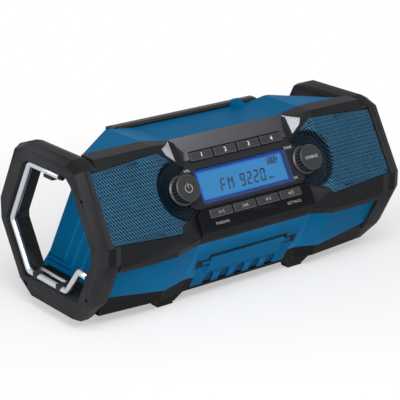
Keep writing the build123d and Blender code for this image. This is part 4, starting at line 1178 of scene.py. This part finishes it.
# Faces inside the grooves take the darker blue: painted shade.
GROOVE_FLOOR_Y = -0.0605
flap = rounded("port_flap", housing_blue, 0.5, blue_edge_highlight, angle=24, also=(shaded_groove_blue,))
for face in flap.data.polygons:
    if face.normal.y < -0.8 and face.center.y > GROOVE_FLOOR_Y:
        face.material_index = 1
dress("socket_tray", shell_black)
dress("port_block", shell_black)

# ---- Feet ---------------------------------------------------------------------------------
# Small pads moulded in soft rubber, and pressed into the ends of the legs. They keep the
# radio from sliding and the legs from the ground's grit.
foot_rubber = moulded(
    "foot_rubber", (0.01, 0.01, 0.01), (0.03, 0.03, 0.03), smooth=0.8, rough=0.95, specular=0.2
)
dress("rubber_feet", foot_rubber)

# ---- Hook ---------------------------------------------------------------------------------
# One bent rod of bright plated steel. It lies in the left cage, turns on its lower leg and
# snaps into a black clip. A second rod beside it is fixed.
plated = coated(
    "plated_steel", (0.52, 0.54, 0.57), (0.62, 0.63, 0.66), 90, 0.28, 0.38, metal=1.0
)
ROD_SIDES, BEND_STEPS, ROD_RADIUS = 20, 7, 3.6
HOOK_X = -200
hook_route = [
    Vector((HOOK_X, y, z))
    for y, z in (
        (-20.0, 159.2),
        (36.5, 159.2),
        (75.6, 88.0),
        (45.8, 36.4),
        (-26.0, 36.4),
        (-50.0, 66.0),
        (-64.5, 64.6),
    )
]
HOOK_BENDS = (7, 9, 7, 7, 4.2)


def bent_rod(points, bends):
    """Round rod: a disc drawn out along each run, and swung round each bend."""
    bm = bmesh.new()
    first = (points[1] - points[0]).normalized()
    disc = bmesh.ops.create_circle(bm, cap_ends=True, radius=ROD_RADIUS, segments=ROD_SIDES)
    aim = Vector((0, 0, 1)).rotation_difference(first).to_matrix()
    bmesh.ops.rotate(bm, cent=(0, 0, 0), matrix=aim, verts=disc["verts"])
    bmesh.ops.translate(bm, vec=points[0], verts=disc["verts"])
    tip, at = bm.faces[:], points[0]

    def draw_out(tip, way):
        made = bmesh.ops.extrude_face_region(bm, geom=tip)["geom"]
        moved = [v for v in made if isinstance(v, bmesh.types.BMVert)]
        bmesh.ops.translate(bm, vec=way, verts=moved)
        return [f for f in made if isinstance(f, bmesh.types.BMFace)]

    for before, here, after, radius in zip(points, points[1:], points[2:], bends):
        a, b = (here - before).normalized(), (after - here).normalized()
        turn = a.angle(b)
        setback = radius * tan(turn / 2)
        tip = draw_out(tip, here - a * setback - at)
        made = bmesh.ops.spin(
            bm,
            geom=[*tip[0].verts, *tip[0].edges, *tip],
            cent=here - a * setback + (b - a * a.dot(b)).normalized() * radius,
            axis=a.cross(b).normalized(),
            angle=turn,
            steps=BEND_STEPS,
            use_merge=False,
        )
        tip = [f for f in made["geom_last"] if isinstance(f, bmesh.types.BMFace)]
        at = here + b * setback
    draw_out(tip, points[-1] - at)
    inner = [f for f in bm.faces if all(len(e.link_faces) > 2 for e in f.edges)]
    bmesh.ops.delete(bm, geom=inner, context="FACES_ONLY")
    for face in bm.faces:
        face.smooth = len(face.verts) == 4
    bmesh.ops.recalc_face_normals(bm, faces=bm.faces[:])
    to_metres(bm)
    return bm


hook_body = radio["hook_wire"]["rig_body"]
wire = settle(bent_rod(hook_route, HOOK_BENDS), "hook_rod", hook_body, plated)
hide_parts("hook_wire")
for node in ("guard_rod", "antenna_pin", "flap_pins", "volume_shaft", "tuning_shaft"):
    dress(node, plated)
dress("hook_clip", cage_black)
dress("hook_tip", cage_black)

# ---- Battery bay --------------------------------------------------------------------------
# Open tray in the back with two rails and a contact block with brass blades, for a slide-on
# tool battery.
dress("battery_bay", shell_black)
dock = rounded("battery_dock", shell_black, 0.4, cage_edge_highlight)
dress("contact_block", shell_black)
brass = sheet_metal("brass", (0.6, 0.42, 0.16), 0.3, 1.0)
dress("battery_contacts", brass)

# ---- Screws -------------------------------------------------------------------------------
# Pan-head screws, zinc plated: through the cages from inside the body, through the frame
# under the grilles, and through the board.
zinc = sheet_metal("zinc", (0.5, 0.5, 0.52), 0.35, 1.0)
for node in ("cage_screws", "frame_screws", "board_screws"):
    dress(node, zinc)
